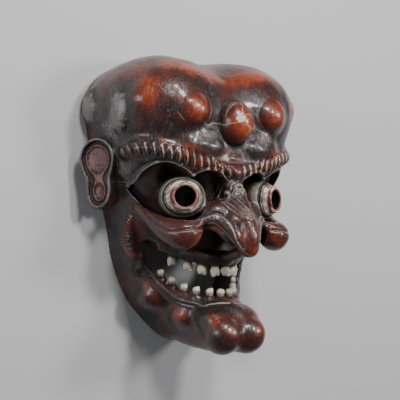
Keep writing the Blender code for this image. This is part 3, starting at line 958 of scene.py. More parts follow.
@dataclass
class Eyes:
    """The sockets with their rimmed lids, and the pierced eyeballs in them."""

    socket: tuple[Rows, ...] = (
        ((84.8, 10), (84.2, 15), (83.6, 20), (81.5, 25), (77, 29), (69, 30), (61, 27.5), (51, 23),
         (43.5, 17)),
        ((43.5, 17), (38, 21.5), (29, 23.5), (19, 21), (8, 13)),
        ((8, 13), (10, 6), (14, -3), (18, -11)),
        ((18, -11), (24, -16), (34, -21), (46, -24.5), (58, -24), (68, -17), (76.5, -5), (82, 3),
         (84.8, 10)),
    )
    tail: Rows = ((90, 14, 42), (87.5, 12.5, 49), (84.6, 11, 58))
    lid_rim: float = 1.8
    lid_groove: float = 0.9
    floor_egg: Row = (56, 3, 110, 46, 38, 38)
    floor_turn: float = 32.0
    floor_depth: float = 7.0
    eye: Row = (46.5, -2, 84)
    eyeball: float = 23.5
    flat: float = 0.87
    gaze: float = 25.0
    pupil: float = 10.5
    ring: float = 11.6
    ring_bead: float = 1.9
    white_groove: float = 20.2
    # Painted shade at the corners of each socket and under the brow.
    soot: Rows = ((66, 4, 68, 20, 0.6), (30, 6, 88, 14, 0.7), (54, 24, 86, 12, 0.5))

    def looks(self, side: int) -> tuple[Array, Array]:
        """The eyeball's centre, and the way it looks."""
        turn = math.radians(self.gaze)
        return on_side(side, self.eye), np.array([side * math.sin(turn), 0.0, math.cos(turn)])

    def ball(self, side: int) -> Egg:
        """The eyeball, a little flattened from top to bottom."""
        return Egg(self.looks(side)[0], (self.eyeball, self.flat * self.eyeball, self.eyeball))

    def carve_sockets(self, block: Block, head: Section) -> None:
        """Lays the rims of the lids and cuts the sockets.

        Args:
            block: the wood to carve.
            head: the head's outer form.
        """
        for side in SIDES:
            for curve in self.socket[:2]:
                block.add(block.laid(on_side(side, curve), self.lid_rim), blend=1.5)
            centre = on_side(side, self.floor_egg[:3])
            egg = Egg(centre, self.floor_egg[3:], side * self.floor_turn)
            curves = [on_side(side, curve) for curve in self.socket]
            bowl = Bowl(egg, head, self.floor_depth)
            block.carve(Drawn(curves, front=130, back=30, within=bowl), blend=1.2)

    def above(self, side: int, curve: Rows, offset: float) -> Array:
        """A curve of the socket's outline moved outwards by offset, on the side of the brow.

        Args:
            side: -1 for the mask's right, 1 for its left.
            curve: points of the socket's outline.
            offset: how far they are moved.

        Returns:
            The moved curve.
        """
        path = smooth_path(on_side(side, curve), 14)
        run = np.gradient(path, axis=0)
        out = np.stack([run[:, 1], -run[:, 0]], axis=1) * -side
        out /= np.linalg.norm(out, axis=1, keepdims=True)
        out *= np.where(out[:, 1:] < 0, -1.0, 1.0)
        return path + offset * out

    def groove_lids(self, block: Block) -> None:
        """Cuts the fine groove that sets each lid's rim off from the brow.

        Args:
            block: the wood to carve.
        """
        for side in SIDES:
            for curve in self.socket[:2]:
                block.groove(block.lifted(self.above(side, curve, 3.4)), self.lid_groove)
            block.groove(on_side(side, self.tail) + (0.0, -2.0, 0.0), self.lid_groove)

    def add_balls(self, block: Block) -> None:
        """Adds the eyeballs, each with a groove round the white.

        Args:
            block: the wood to carve.
        """
        for side in SIDES:
            block.add(self.ball(side), blend=1.0)
            block.groove(self.circle(side, self.white_groove), radius=0.9)

    def circle(self, side: int, radius: float) -> Array:
        """A ring on the eyeball, radius out from the way it looks: points x, y, z.

        Args:
            side: -1 for the mask's right, 1 for its left.
            radius: the ring's radius.

        Returns:
            The ring's points, a row each.
        """
        centre, ahead = self.looks(side)
        across = np.array([ahead[2], 0.0, -ahead[0]])
        turn = np.linspace(0.0, 2 * math.pi, 25)
        out = math.sqrt(max(self.eyeball**2 - radius**2, 1.0))
        flat = np.outer(np.cos(turn), across) + np.outer(np.sin(turn), (0.0, self.flat, 0.0))
        return centre + ahead * out + radius * flat

    def pierce(self, block: Block) -> None:
        """Cuts the pupils right through for the wearer to look out, each with a raised ring.

        Args:
            block: the wood to carve.
        """
        for side in SIDES:
            centre, ahead = self.looks(side)
            ends = [np.append(centre - ahead * 45, self.pupil),
                    np.append(centre + ahead * 30, self.pupil)]
            block.carve(Roll(ends, 1), blend=0.8)
            place = centre + ahead * math.sqrt(self.eyeball**2 - self.ring**2)
            block.add(Ring(place, ahead, self.ring, self.ring_bead), blend=1.0)

    def mark(self, skin: Skin) -> None:
        """Marks how far out on the eye each point is, the lids' rubbed lines and the painted shade
        round the sockets.

        Args:
            skin: the skin to mark.
        """
        for side in SIDES:
            centre, ahead = self.looks(side)
            p = skin.points - centre
            along = p @ ahead
            across = p @ np.array([ahead[2], 0.0, -ahead[0]])
            out = np.hypot(across, p[:, 1] / self.flat)
            proud = self.ball(side).distance(*skin.columns())
            out = out + 4.0 * np.maximum(proud - 1.8, 0.0) - 4.0 * np.maximum(-proud - 1.2, 0.0)
            out = out + 4.0 * np.maximum(-along, 0.0)
            skin.marks[Mark.EYE] = np.minimum(skin.marks[Mark.EYE], out)
            for curve in self.socket[:2]:
                skin.thread(skin.block.lifted(self.above(side, curve, 0.9)), amount=0.62)
            skin.thread(on_side(side, self.tail), amount=0.4)
            edge = self.above(side, self.socket[3][2:5], -0.8)
            skin.thread(skin.block.lifted(edge), amount=0.5)
        skin.blush(Mark.SOOT, self.soot)


@dataclass
class Cheeks:
    """The lower lids, and the bags under them that swell towards the nose."""

    lower_lid: Rows = ((80, -11, 58, 3), (74, -20, 67, 5), (66, -28, 78, 6.5), (54, -32, 91, 7),
                       (41, -29, 98, 6.5), (29, -22, 101, 5))
    bag: Rows = ((80, -12, 56, 3), (75.5, -20, 67, 5.5), (69, -29, 80, 9.5), (62, -36, 93, 13.5),
                 (55, -38, 101, 15), (49, -34, 103, 12))
    crease: Rows = ((86, 7, 48), (82, 1, 53), (79.5, -4, 57), (78, -11, 63), (77, -18, 70),
                    (77, -27, 85), (73, -35, 102), (64, -34, 112), (53, -33, 114), (43, -33, 113))
    red: Rows = ((52, -50, 108, 14, 0.62), (44, -42, 113, 12, 0.66), (60, -34, 113, 9, 0.4),
                 (44, -27, 106, 7, 0.35), (60, -42, 94, 20, 0.30))

    def carve(self, block: Block) -> None:
        """Adds both forms on each side.

        Args:
            block: the wood to carve.
        """
        for side in SIDES:
            block.roll(side, self.lower_lid, blend=6)
            block.roll(side, self.bag, blend=3)

    def cut_crease(self, block: Block) -> None:
        """Cuts the fine crease between the lid and the bag."""
        for side in SIDES:
            block.groove(on_side(side, self.crease), radius=1.3)

    def mark(self, skin: Skin) -> None:
        """Marks the rubbed lines of the crease and the lid, and the red of the bags.

        Args:
            skin: the skin to mark.
        """
        for side in SIDES:
            line = on_side(side, self.crease) + (0.0, -1.9, 1.0)
            skin.thread(line[6:], amount=0.6)
            lid = on_side(side, self.lower_lid[2:])[:, :3] + (0.0, 5.0, 4.0)
            skin.thread(lid[1:], amount=0.6)
        skin.blush(Mark.CINNABAR, self.red)


@dataclass
class Nose:
    """The hooked nose with its flared wings, and the upper lip under it."""

    bridge: Rows = ((0, 14, 102, 8.5), (0, -3, 113, 9), (0, -20, 124, 9.5), (0, -38, 131, 9.5),
                    (0, -51, 131, 9.5))
    wing: Rows = ((36, -29, 102, 3.5), (34, -26, 106, 4), (29, -25, 110, 4.5), (24, -26, 114, 5),
                  (19, -30, 119, 5), (15, -36, 123, 5), (11, -43, 127, 5), (6, -49, 129, 5.5))
    nostril: Rows = ((37, -40, 97, 7.5), (31, -36, 105, 9), (23, -41, 111, 9.5), (14, -50, 116, 8))
    crest: Rows = ((37, -34, 99, 3), (31, -30, 105, 3.2), (24, -33, 112, 3.2), (18, -41, 118, 3),
                   (13, -48, 121, 2))
    upper_lip: Rows = ((0, -61, 95, 6.5), (13, -60.5, 89, 6.5), (25, -58, 78, 6.5),
                       (37, -54, 64, 6), (48, -49, 53, 6))
    column: Rows = ((0, -52, 128, 6), (0, -56, 112, 6), (0, -60, 97, 6))
    side_eggs: Rows = ((14, -18, 104, 20, 14, 14, 8), (9, -29, 116, 11, 14, 13, 5))
    root: Rows = ((7, 2, 108, 5.5, 5.5, 5, 1.5), (0, 6, 111, 5.5, 5.5, 5, 1.5))
    curls: Rows = ((1, 7, 115, 4.4, 20, 200), (6, 3, 113, 3.8, 160, 330),
                   (11, 0, 109, 3.2, 60, 260), (7, 9, 113, 2.6, -40, 150),
                   (3, 0, 117, 2.8, 10, 190), (14, -3, 105, 2.4, -90, 90),
                   (4, 6, 115, 2.0, 200, 380), (9, -4, 111, 2.2, 80, 250),
                   (0, 3, 117, 2.0, 0, 300))
    curl_bead: float = 1.1
    rim: Rows = ((45, -29, 112), (37, -23, 108), (29, -20, 114), (22, -22, 119), (19, -28, 125),
                 (16, -37, 128), (14, -46, 131), (9, -54, 134), (3, -59, 137))
    crest_line: Rows = ((36, -31, 104), (32, -27, 113), (26, -31, 118), (20, -38, 122),
                        (16, -45, 126))
    snarls: tuple[Rows, ...] = (
        ((17, -9, 110), (12, -17, 120), (7, -23, 130), (1, -25, 136)),
        ((14, -7, 112), (10, -14, 121), (6, -20, 130), (1, -22, 135)),
        ((11, -5, 115), (8, -12, 124), (4.5, -17.5, 131), (0.5, -19, 134)),
        ((8, -3, 118), (5.5, -9, 125), (3, -14.5, 130), (0.3, -16, 132)),
    )
    red: Rows = ((7, -42, 131, 9, 0.65), (0, -55, 137, 9, 0.6), (28, -36, 111, 8, 0.9),
                 (4, -36, 133, 7, 0.5), (5, -28, 131, 8, 0.45), (6, -15, 124, 8, 0.5),
                 (0, -38, 122, 20, 0.2))
    # Painted shade under the nostrils and over the upper lip.
    soot: Rows = ((22, -60, 84, 13, 0.9), (8, -61, 95, 10, 0.8), (36, -55, 66, 12, 0.7),
                  (22, -46, 102, 8, 0.9), (10, -48, 112, 7, 0.8))

    def carve(self, block: Block) -> None:
        """Adds the bridge, the wings and the lip, and cuts the nostrils.

        Args:
            block: the wood to carve.
        """
        block.add(Roll(self.bridge), blend=6)
        for side in SIDES:
            for row in self.side_eggs:
                block.egg(side, row)
            block.roll(side, self.wing, blend=5)
            block.carve(Roll(on_side(side, self.nostril)), blend=1.5)
            block.roll(side, self.crest, blend=2)
            block.roll(side, self.upper_lip, blend=3)
            block.egg(side, self.root[0])
        block.egg(1, self.root[1])
        block.add(Roll(self.column), blend=3)

    def curl(self, block: Block, side: int, row: Row) -> Array:
        """A part of a circle laid on the root of the nose.

        Args:
            block: the wood.
            side: the mask's right (-1) or left (1).
            row: the middle x, y, z, the radius, and the first and last turn in degrees.

        Returns:
            The points of the line.
        """
        x, y, z, radius, first, last = row
        turn = np.radians(np.linspace(first, last, 9))
        flat = np.stack([np.cos(turn), np.sin(turn), 0.0 * turn], axis=1)
        return block.thread(on_side(side, np.array((x, y, z)) + radius * flat), pitch=0.8)

    def cut_lines(self, block: Block) -> None:
        """Adds the curls at the root, and cuts the snarl's ribs and the line inside each rim.

        Args:
            block: the wood to carve.
        """
        for side in SIDES:
            for row in self.curls:
                line = self.curl(block, side, row)
                bead = np.linspace(self.curl_bead, 0.6 * self.curl_bead, len(line))
                block.add(Roll(np.column_stack([line, bead]), 1), blend=0.5)
            for snarl in self.snarls:
                block.groove(on_side(side, snarl), radius=1.1)
            block.groove(on_side(side, self.rim)[:-1] + (0.0, 2.6, 0.6), radius=0.8)

    def mark(self, skin: Skin) -> None:
        """Marks the rubbed rims, the ribs, the curls, the painted shade under the nose and the
        red.

        Args:
            skin: the skin to mark.
        """
        for side in SIDES:
            skin.thread(on_side(side, self.rim), amount=0.85)
            skin.thread(on_side(side, self.crest_line), amount=0.6)
            for snarl in self.snarls:
                skin.thread(on_side(side, snarl) + (0.0, 1.9, 0.6), amount=0.42)
            for row in self.curls:
                skin.line(self.curl(skin.block, side, row), 0.6)
                skin.form(Mark.CURL, Egg(on_side(side, row[:3]), (row[3] + 1.0,) * 3))
        skin.blush(Mark.SOOT, self.soot)
        skin.blush(Mark.CINNABAR, self.red)


@dataclass(frozen=True)
class ToothRow:
    """One row of teeth, from the middle of the jaw back.

    bite is -1 where the teeth point down and 1 where they point up. set_in is how far each gum
    lies behind its tooth, tips how long the cusps are against their table, and shown how far
    the stain and the painted shade are moved towards the gum.
    """

    places: Rows
    bite: int
    set_in: float
    size: float
    tips: float
    shown: float


@dataclass
class Mouth:
    """The mouth, opened right through, with its lower lip and its two rows of teeth."""

    edge: tuple[Rows, ...] = (
        ((65, -52), (62, -43), (56, -46), (48, -51), (37, -58), (25, -63), (12, -66), (0, -67),
         (-12, -66), (-25, -63), (-37, -58), (-48, -51), (-56, -46), (-62, -43), (-65, -52)),
        ((-65, -52), (-61, -63), (-54, -74), (-45, -85), (-37, -91), (-29, -95), (-18, -98.5),
         (0, -100), (18, -98.5), (29, -95), (37, -91), (45, -85), (54, -74), (61, -63), (65, -52)),
    )
    lower_lip: Rows = ((62, -57, 38, 3), (59, -69, 36, 4), (52, -82, 42, 4.5), (44, -92, 52, 5),
                       (34, -100.5, 63, 5.5), (24, -105, 75, 6), (13, -107, 86, 6),
                       (0, -107.5, 90, 6))
    lip_line: Rows = ((55, -81, 45), (47, -92, 55), (40, -102, 64), (31, -106, 75), (25, -108, 90),
                      (14, -106, 99), (4, -105, 104))
    jaws: tuple[ToothRow, ...] = (
        ToothRow(((0, -72.4, 93), (10, -73.2, 89.5), (19, -71.5, 80), (27.5, -68, 68.5),
                  (37.4, -62.5, 55)), -1, 8.4, 5.0, 1.0, 1.8),
        ToothRow(((5, -94, 92), (14, -93.5, 86), (22.5, -92, 75.5), (30, -89, 65),
                  (37.4, -82.5, 55), (44, -75, 45.5)), 1, 7.2, 3.9, 0.75, -1.0),
    )
    gum: Row = (6.0, 4.6, 5.6)
    cusps: Rows = ((-0.48, 0.2, 0.62), (0.46, 0.26, 0.72), (0.02, -0.45, 0.62))
    cusp: float = 0.43
    bend: float = 60.0
    red: Rows = ((0, -104, 98, 8, 0.45), (12, -99, 92, 6, 0.4))
    # Painted shade at the corner of the mouth and along its lower edge.
    soot: Rows = ((65, -69, 33, 9, 1.0), (59, -72, 37, 8, 0.9), (52, -77, 45, 7, 0.6),
                  (42, -87, 57, 7, 0.6), (28, -96, 72, 7, 0.5), (13, -98, 86, 7, 0.45))

    def open(self, block: Block) -> None:
        """Cuts the mouth and adds the lower lip.

        Args:
            block: the wood to carve.
        """
        block.carve(Drawn(self.edge, front=140, back=-30), blend=3)
        for side in SIDES:
            block.roll(side, self.lower_lip, blend=3)

    def teeth(self) -> tuple[list[Form], list[Form]]:
        """The gum round each tooth, and each tooth's root, crown and three blunt cusps.

        Returns:
            The gum's forms, and the teeth's.
        """
        gums: list[Form] = []
        teeth: list[Form] = []
        for jaw in self.jaws:
            size = jaw.size
            down = np.array([0.0, jaw.bite, 0.0])
            for x, y, z in jaw.places:
                for side in SIDES if x else (1,):
                    place = on_side(side, (x, y, z))
                    turn = side * math.atan2(x, self.bend)
                    row = np.array([math.cos(turn), 0.0, -math.sin(turn)])
                    out = np.array([math.sin(turn), 0.0, math.cos(turn)])
                    gums.append(Egg(place - down * jaw.set_in, self.gum))
                    root = [np.append(place - down * 9, 3.4), np.append(place, 3.6)]
                    teeth.append(Roll(root, 1))
                    wide = size * (1.0 + 0.08 * math.sin(1.7 * x + side))
                    teeth.append(Egg(place, (wide, size - 0.3, size - 0.4)))
                    for across, ahead, tip in self.cusps:
                        uneven = 1.0 + 0.25 * math.sin(2.3 * x + side + 3.0 * across)
                        tip *= jaw.tips * uneven
                        cusp = place + (row * across + out * ahead + down * tip) * size
                        teeth.append(Egg(cusp, (self.cusp * size,) * 3))
        return gums, teeth

    def set_teeth(self, block: Block) -> None:
        """Sets the teeth into the jaws.

        Args:
            block: the wood to carve.
        """
        gums, teeth = self.teeth()
        for gum in gums:
            block.add(gum, blend=1.5)
        for form in teeth:
            block.add(form, blend=0.7)

    def cut_line(self, block: Block) -> None:
        """Cuts the line under the lower lip."""
        for side in SIDES:
            block.groove(on_side(side, self.lip_line), radius=1.5)

    def mark(self, skin: Skin) -> None:
        """Marks the teeth, the rubbed edge of the lip, its red and the painted shade at its corner
        and lower edge.

        Args:
            skin: the skin to mark.
        """
        for form in self.teeth()[1]:
            skin.form(Mark.TOOTH, form)
        nearest = np.full(len(skin.points), FAR)
        for jaw in self.jaws:
            for place in jaw.places:
                for side in SIDES:
                    off = skin.points - on_side(side, place)
                    gap = np.linalg.norm(off * (1.0, 0.7, 1.0), axis=1)
                    nearer = gap < nearest
                    nearest[nearer] = gap[nearer]
                    skin.marks[Mark.TOOTH_RISE][nearer] = jaw.bite * off[nearer, 1] + jaw.shown
        for side in SIDES:
            edge = on_side(side, self.lip_line) + (0.0, 2.4, 1.2)
            skin.thread(edge[:5], amount=0.25)
            skin.thread(edge[4:], amount=0.8)
        skin.blush(Mark.CINNABAR, self.red)
        skin.blush(Mark.SOOT, self.soot)


@dataclass
class Jaw:
    """The jutting jaw with its side bulges, and the two lobes of the chin."""

    keel: Rows = ((0, -98, 15, 30), (0, -116, 40, 31), (0, -125, 68, 27), (0, -131, 90, 22))
    front: Row = (0, -118, 88, 30, 18, 26, 8)
    bulges: Rows = ((45, -97, 32, 15, 16, 17, 8), (27, -117, 60, 12, 13, 14, 7),
                    (14.5, -134.5, 107, 18.5, 19, 19.5, 7), (20, -121, 99, 13, 12, 14, 6))
    red: Rows = ((58, -86, 38, 10, 0.8), (53, -99, 46, 9, 0.6), (37, -117, 68, 13, 0.8),
                 (26, -122, 112, 10, 0.85), (18, -130, 127, 9, 0.75), (29, -137, 106, 8, 0.4),
                 (8, -124, 114, 8, 0.4), (16, -130, 105, 30, 0.22), (46, -106, 44, 24, 0.25),
                 (6, -143, 118, 12, 0.3))

    def carve(self, block: Block) -> None:
        """Adds the keel, the front and the bulges.

        Args:
            block: the wood to carve.
        """
        block.add(Roll(self.keel), blend=14)
        block.egg(1, self.front)
        for side in SIDES:
            for row in self.bulges:
                block.egg(side, row)

    def mark(self, skin: Skin) -> None:
        """Marks the red of the bulges."""
        skin.blush(Mark.CINNABAR, self.red)


@dataclass
class Pads:
    """The ribbed pads beside the mouth, and a boss at each of its corners."""

    pad: Rows = ((75, -21, 39, 3), (73, -32, 35, 6.5), (70, -44, 32, 8), (65, -57, 32, 6))
    boss: Row = (59, -71, 30, 8, 8, 8, 2)
    back_edge: Rows = ((75.5, -20, 41), (77, -28, 33), (76.5, -37, 26), (74, -46, 23),
                       (71, -54, 24), (68, -61, 29))
    front_edge: Rows = ((72, -19, 49), (68, -27, 49), (65.5, -36, 46), (64, -46, 43),
                        (64, -54, 40), (64, -61, 37))
    ribs: int = 14
    groove: float = 0.85
    bulge: float = 2.0
    seen: Row = (0.809, 0.588)
    hinge: Row = (-6.3, -56.6)
    fan: Row = (47.0, -3.0)
    # Painted shade along the front of each pad, where it meets the face.
    soot: Rows = ((65, -51, 41, 8, 0.95), (66, -39, 43, 8, 0.95), (67, -28, 47, 5, 0.8))

    def carve(self, block: Block) -> None:
        """Adds the pads and the bosses.

        Args:
            block: the wood to carve.
        """
        for side in SIDES:
            block.roll(side, self.pad, blend=3)
            block.egg(side, self.boss)

    def turn(self, points: Array) -> Array:
        """How many ribs round the fan's hinge points are, seen as the camera sees the pad.

        Args:
            points: the places.

        Returns:
            A number of ribs for each place.
        """
        right = self.seen[1] * points[:, 2] - self.seen[0] * np.abs(points[:, 0])
        angle = np.degrees(np.arctan2(points[:, 1] - self.hinge[1], self.hinge[0] - right))
        return (self.fan[0] - angle) * self.ribs / (self.fan[0] - self.fan[1])

    def rib_lines(self, side: int) -> list[Array]:
        """Lines across the pad from its back edge to its front one, proud in the middle.

        Args:
            side: -1 for the mask's right, 1 for its left.

        Returns:
            Three points for each line.
        """
        ribs = np.arange(self.ribs)
        edges = [smooth_path(on_side(side, e), 60) for e in (self.back_edge, self.front_edge)]
        backs, fronts = (np.stack([np.interp(ribs, self.turn(e), v) for v in e.T], axis=1)
                         for e in edges)
        bend = np.array([side * self.bulge, 0.0, self.bulge])
        return [np.array([back, (back + front) / 2 + bend, front])
                for back, front in zip(backs, fronts)]

    def cut_ribs(self, block: Block) -> None:
        """Cuts a groove between each rib and the next.

        Args:
            block: the wood to carve.
        """
        for side in SIDES:
            for line in self.rib_lines(side):
                block.groove(line, self.groove)

    def mark(self, skin: Skin) -> None:
        """Marks the pads, each point's place in the fan of ribs, the rubbed edge and the painted
        shade.

        Args:
            skin: the skin to mark.
        """
        for side in SIDES:
            for line in self.rib_lines(side):
                rows = np.column_stack([line, np.full(len(line), 2.4)])
                skin.form(Mark.PAD, Roll(rows))
            skin.thread(on_side(side, self.back_edge), amount=0.5)
        skin.blush(Mark.SOOT, self.soot)
        skin.marks[Mark.PAD_TURN] = self.turn(skin.points)


class Ear:
    """A plate with the outline of two discs, one above the other, hollowed inside a rim."""

    def __init__(self, side: int, sizes: "Ears") -> None:
        """Keeps the plate's place and the ways across it and out of it.

        Args:
            side: -1 for the mask's right, 1 for its left.
            sizes: the ears' sizes.
        """
        lean = math.radians(sizes.lean)
        c, s = math.cos(lean), math.sin(lean)
        self.sizes = sizes
        self.centre = on_side(side, sizes.centre)
        self.out = np.array([side * c, 0.0, -s])
        self.face = np.array([side * s, 0.0, c])
        reach = np.array([30.0, 45.0, 30.0])
        self.low, self.high = self.centre - reach, self.centre + reach

    def flat(self, x: Array, y: Array, z: Array) -> tuple[Array, Array]:
        """How far each point is outside the plate's outline, and in front of its middle.

        Args:
            x: how far across each point is.
            y: how far up each point is.
            z: how far out each point is.

        Returns:
            How far outside, and how far in front.
        """
        p = (x - self.centre[0], y - self.centre[1], z - self.centre[2])
        across = sum(a * q for a, q in zip(self.out, p))
        proud = sum(a * q for a, q in zip(self.face, p))
        outline = None
        for right, up, wide, tall in self.sizes.discs:
            disc = (np.sqrt(((across - right) / wide) ** 2 + ((p[1] - up) / tall) ** 2) - 1) * wide
            outline = disc if outline is None else smooth_min(outline, disc, 16.0)
        return outline, proud

    def distance(self, x: Array, y: Array, z: Array) -> Array:
        """The plate's distance, less the hollow's and with a low ring round the inner ear.

        Args:
            x: how far across each point is.
            y: how far up each point is.
            z: how far out each point is.

        Returns:
            The distances, negative inside.
        """
        outline, proud = self.flat(x, y, z)
        rim, depth, half = self.sizes.rim, self.sizes.depth, self.sizes.thickness / 2
        plate = smooth_max(outline, np.abs(proud) - half, 2.5)
        hollow = np.maximum(outline + rim, half - depth - proud)
        ring = np.hypot(outline + 2.1 * rim, proud - half + depth) - 1.3
        return smooth_min(smooth_max(plate, -hollow, 1.0), ring, 0.8)


@dataclass
class Ears:
    """The ears, each of two rounds, the upper the larger."""

    centre: Row = (106.5, 21, 28)
    lean: float = 58.0
    discs: Rows = ((0, 15, 19, 21), (-2, -17, 13, 17))
    rim: float = 3.2
    depth: float = 4.0
    thickness: float = 9.0
    seat: Row = (93, 16, 24, 12, 26, 15, 6)

    def carve(self, block: Block) -> None:
        """Adds the swelling behind each ear, and the ear.

        Args:
            block: the wood to carve.
        """
        for side in SIDES:
            block.egg(side, self.seat)
            block.add(Ear(side, self), blend=2.5)

    def mark(self, skin: Skin) -> None:
        """Marks how deep inside the outline the front of each ear is.

        Args:
            skin: the skin to mark.
        """
        for side in SIDES:
            outline, proud = Ear(side, self).flat(*skin.columns())
            inside = -outline - 3.0 * np.maximum(-proud - 0.5, 0.0)
            inside = inside - 3.0 * np.maximum(proud - self.thickness / 2 - 1.5, 0.0)
            skin.marks[Mark.EAR] = np.maximum(skin.marks[Mark.EAR], inside)


@dataclass
class ToolMarks:
    """The shallow waves that gouge and brush leave, as smooth random heights on a lattice."""

    seed: int = 7
    lattice: int = 48
    face: Rows = ((13.0, 0.38), (6.5, 0.22), (3.4, 0.10))
    hollow: Rows = ((15.0, 0.9), (7.0, 0.35))

    def waves(self, points: Array, sizes: Rows) -> Array:
        """The sum over sizes of height times a lattice of random values read smoothly between.

        Args:
            points: where the waves are read.
            sizes: pitch and height of each set of waves.

        Returns:
            The height at each point, about nought on average.
        """
        random = np.random.default_rng(self.seed)
        total = np.zeros(len(points))
        for pitch, height in sizes:
            values = random.uniform(-1.0, 1.0, (self.lattice,) * 3)
            at = points / pitch + self.lattice
            cell = np.floor(at).astype(int)
            part = at - cell
            part = part * part * (3.0 - 2.0 * part)
            for corner in np.ndindex(2, 2, 2):
                share = np.where(corner, part, 1.0 - part).prod(axis=1)
                total += height * share * values[tuple(((cell + corner) % self.lattice).T)]
        return total

    def cut(self, skin: Skin) -> None:
        """Moves the skin in and out by the waves, but not the eyes and the teeth.

        Args:
            skin: the skin to cut.
        """
        inner = skin.marks[Mark.HOLLOW][:, None]
        face = self.waves(skin.points, self.face)[:, None]
        hollow = self.waves(skin.points, self.hollow)[:, None]
        smooth = rise(skin.marks[Mark.TOOTH], 0.5, 3.0) * rise(skin.marks[Mark.EYE], 24.0, 28.0)
        smooth = smooth * rise(skin.points[:, 2], 0.3, 3.0)
        skin.points = skin.points + skin.ways * (face + (hollow - face) * inner) * smooth[:, None]


@dataclass
class Mask:
    """The whole mask, carved in order and marked for its finish."""

    head: Head = field(default_factory=Head)
    crown: Crown = field(default_factory=Crown)
    jaw: Jaw = field(default_factory=Jaw)
    brow: Brow = field(default_factory=Brow)
    mouth: Mouth = field(default_factory=Mouth)
    cheeks: Cheeks = field(default_factory=Cheeks)
    eyes: Eyes = field(default_factory=Eyes)
    nose: Nose = field(default_factory=Nose)
    pads: Pads = field(default_factory=Pads)
    ears: Ears = field(default_factory=Ears)
    tool_marks: ToolMarks = field(default_factory=ToolMarks)
    low: Row = (-128, -166, -BACK_WASTE)
    high: Row = (128, 152, 152)
    edge_reach: float = 2.6
    cavity_reach: float = 8.0

    def carved(self, step: float) -> Block:
        """The wood, carved, in a block sampled every step parts.

        Args:
            step: how far apart the block's points are, in parts.

        Returns:
            The block.
        """
        outer = self.head.outer()
        block = Block(self.low, self.high, step)
        block.add(outer, blend=1)
        self.crown.carve(block)
        self.jaw.carve(block)
        self.brow.carve_band(block)
        self.mouth.open(block)
        self.cheeks.carve(block)
        self.eyes.carve_sockets(block, outer)
        self.eyes.add_balls(block)
        self.nose.carve(block)
        self.pads.carve(block)
        block.carve(self.head.hollow(), blend=3)
        self.eyes.pierce(block)
        self.mouth.set_teeth(block)
        self.ears.carve(block)
        self.brow.carve_hairs(block)
        self.eyes.groove_lids(block)
        self.cheeks.cut_crease(block)
        self.nose.cut_lines(block)
        self.mouth.cut_line(block)
        self.pads.cut_ribs(block)
        block.plane_back()
        return block

    def skin(self, step: float) -> Skin:
        """The marked skin, thinned to the triangles that a piece may have.

        Args:
            step: how far apart the block's points are, in parts.

        Returns:
            The skin, its points still in parts.
        """
        block = self.carved(step)
        points, faces = block.skin()
        LOG.info("carved: %d points, %d faces", len(points), len(faces))
        points, faces = thinned(points, faces, TRIANGLES)
        skin = Skin(block, block.settle(points, 1), faces)
        for part in (self.head, self.crown, self.brow, self.eyes, self.cheeks, self.nose,
                     self.mouth, self.jaw, self.pads, self.ears):
            part.mark(skin)
        skin.marks[Mark.EDGE] = 0.5 - block.read(skin.points, block.fullness(self.edge_reach))
        cavity = block.fullness(self.cavity_reach)
        skin.marks[Mark.CAVITY] = block.read(skin.points, cavity) - 0.5
        self.tool_marks.cut(skin)
        return skin

    def make(self, step: float) -> bpy.types.Object:
        """The mask as one object in metres, in the middle of the solid's box.

        Args:
            step: how far apart the block's points are, in parts.

        Returns:
            The object.
        """
        skin = self.skin(step)
        points = skin.points * PART
        low, high = (np.array(corner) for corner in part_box("mask"))
        middle = (low + high) / 2 - (points.min(0) + points.max(0)) / 2
        points = points + middle * (1.0, 1.0, 0.0)
        points[:, 2] = np.maximum(points[:, 2], 0.0)
        mesh = bpy.data.meshes.new("carved_mask")
        mesh.from_pydata(points.tolist(), [], skin.faces.tolist())
        mesh.update()
        mesh.shade_smooth()
        for mark, values in skin.marks.items():
            layer = mesh.attributes.new(mark.value, "FLOAT", "POINT")
            layer.data.foreach_set("value", values.astype(np.float32))
        return placed("carved_mask", mesh)


def placed(name: str, data: bpy.types.ID) -> bpy.types.Object:
    """A new object in the scene.

    Args:
        name: the object's name.
        data: what it shows, such as a mesh.

    Returns:
        The object.
    """
    made = bpy.data.objects.new(name, data)
    bpy.context.scene.collection.objects.link(made)
    return made


def thinned(points: Array, faces: Array, triangles: int) -> tuple[Array, Array]:
    """The same surface in at most so many triangles, with most left where it bends most.

    Args:
        points: every corner's place.
        faces: four corners' numbers for each face.
        triangles: the most that may be left.

    Returns:
        The points and the three-sided faces.
    """
    mesh = bpy.data.meshes.new("thinned")
    mesh.from_pydata(points.tolist(), [], faces.tolist())
    holder = placed("thinned", mesh)
    holder.modifiers.new("triangles", "TRIANGULATE")
    fewer = holder.modifiers.new("fewer_faces", "DECIMATE")
    fewer.ratio = min(1.0, triangles / (2 * len(faces)))
    done = holder.evaluated_get(bpy.context.evaluated_depsgraph_get()).to_mesh()
    left = np.empty(3 * len(done.vertices))
    done.vertices.foreach_get("co", left)
    corners = np.empty(3 * len(done.polygons), np.int32)
    done.polygons.foreach_get("vertices", corners)
    bpy.data.objects.remove(holder)
    bpy.data.meshes.remove(mesh)
    return left.reshape(-1, 3), corners.reshape(-1, 3)


@dataclass(frozen=True)
class Signal:
    """One output of a material's nodes, on which sums are written as plain expressions."""

    shader: "Shader"
    socket: bpy.types.NodeSocket

    def __add__(self, other: "Value") -> "Signal":
        """This plus other."""
        return self.shader.maths("ADD", self, other)

    def __sub__(self, other: "Value") -> "Signal":
        """This less other."""
        return self.shader.maths("SUBTRACT", self, other)

    def __rsub__(self, other: "Value") -> "Signal":
        """Other less this."""
        return self.shader.maths("SUBTRACT", other, self)

    def __mul__(self, other: "Value") -> "Signal":
        """This times other."""
        return self.shader.maths("MULTIPLY", self, other)

    def __abs__(self) -> "Signal":
        """How far this is from nought."""
        return self.shader.maths("ABSOLUTE", self)

    __radd__ = __add__
    __rmul__ = __mul__


Value = Signal | float


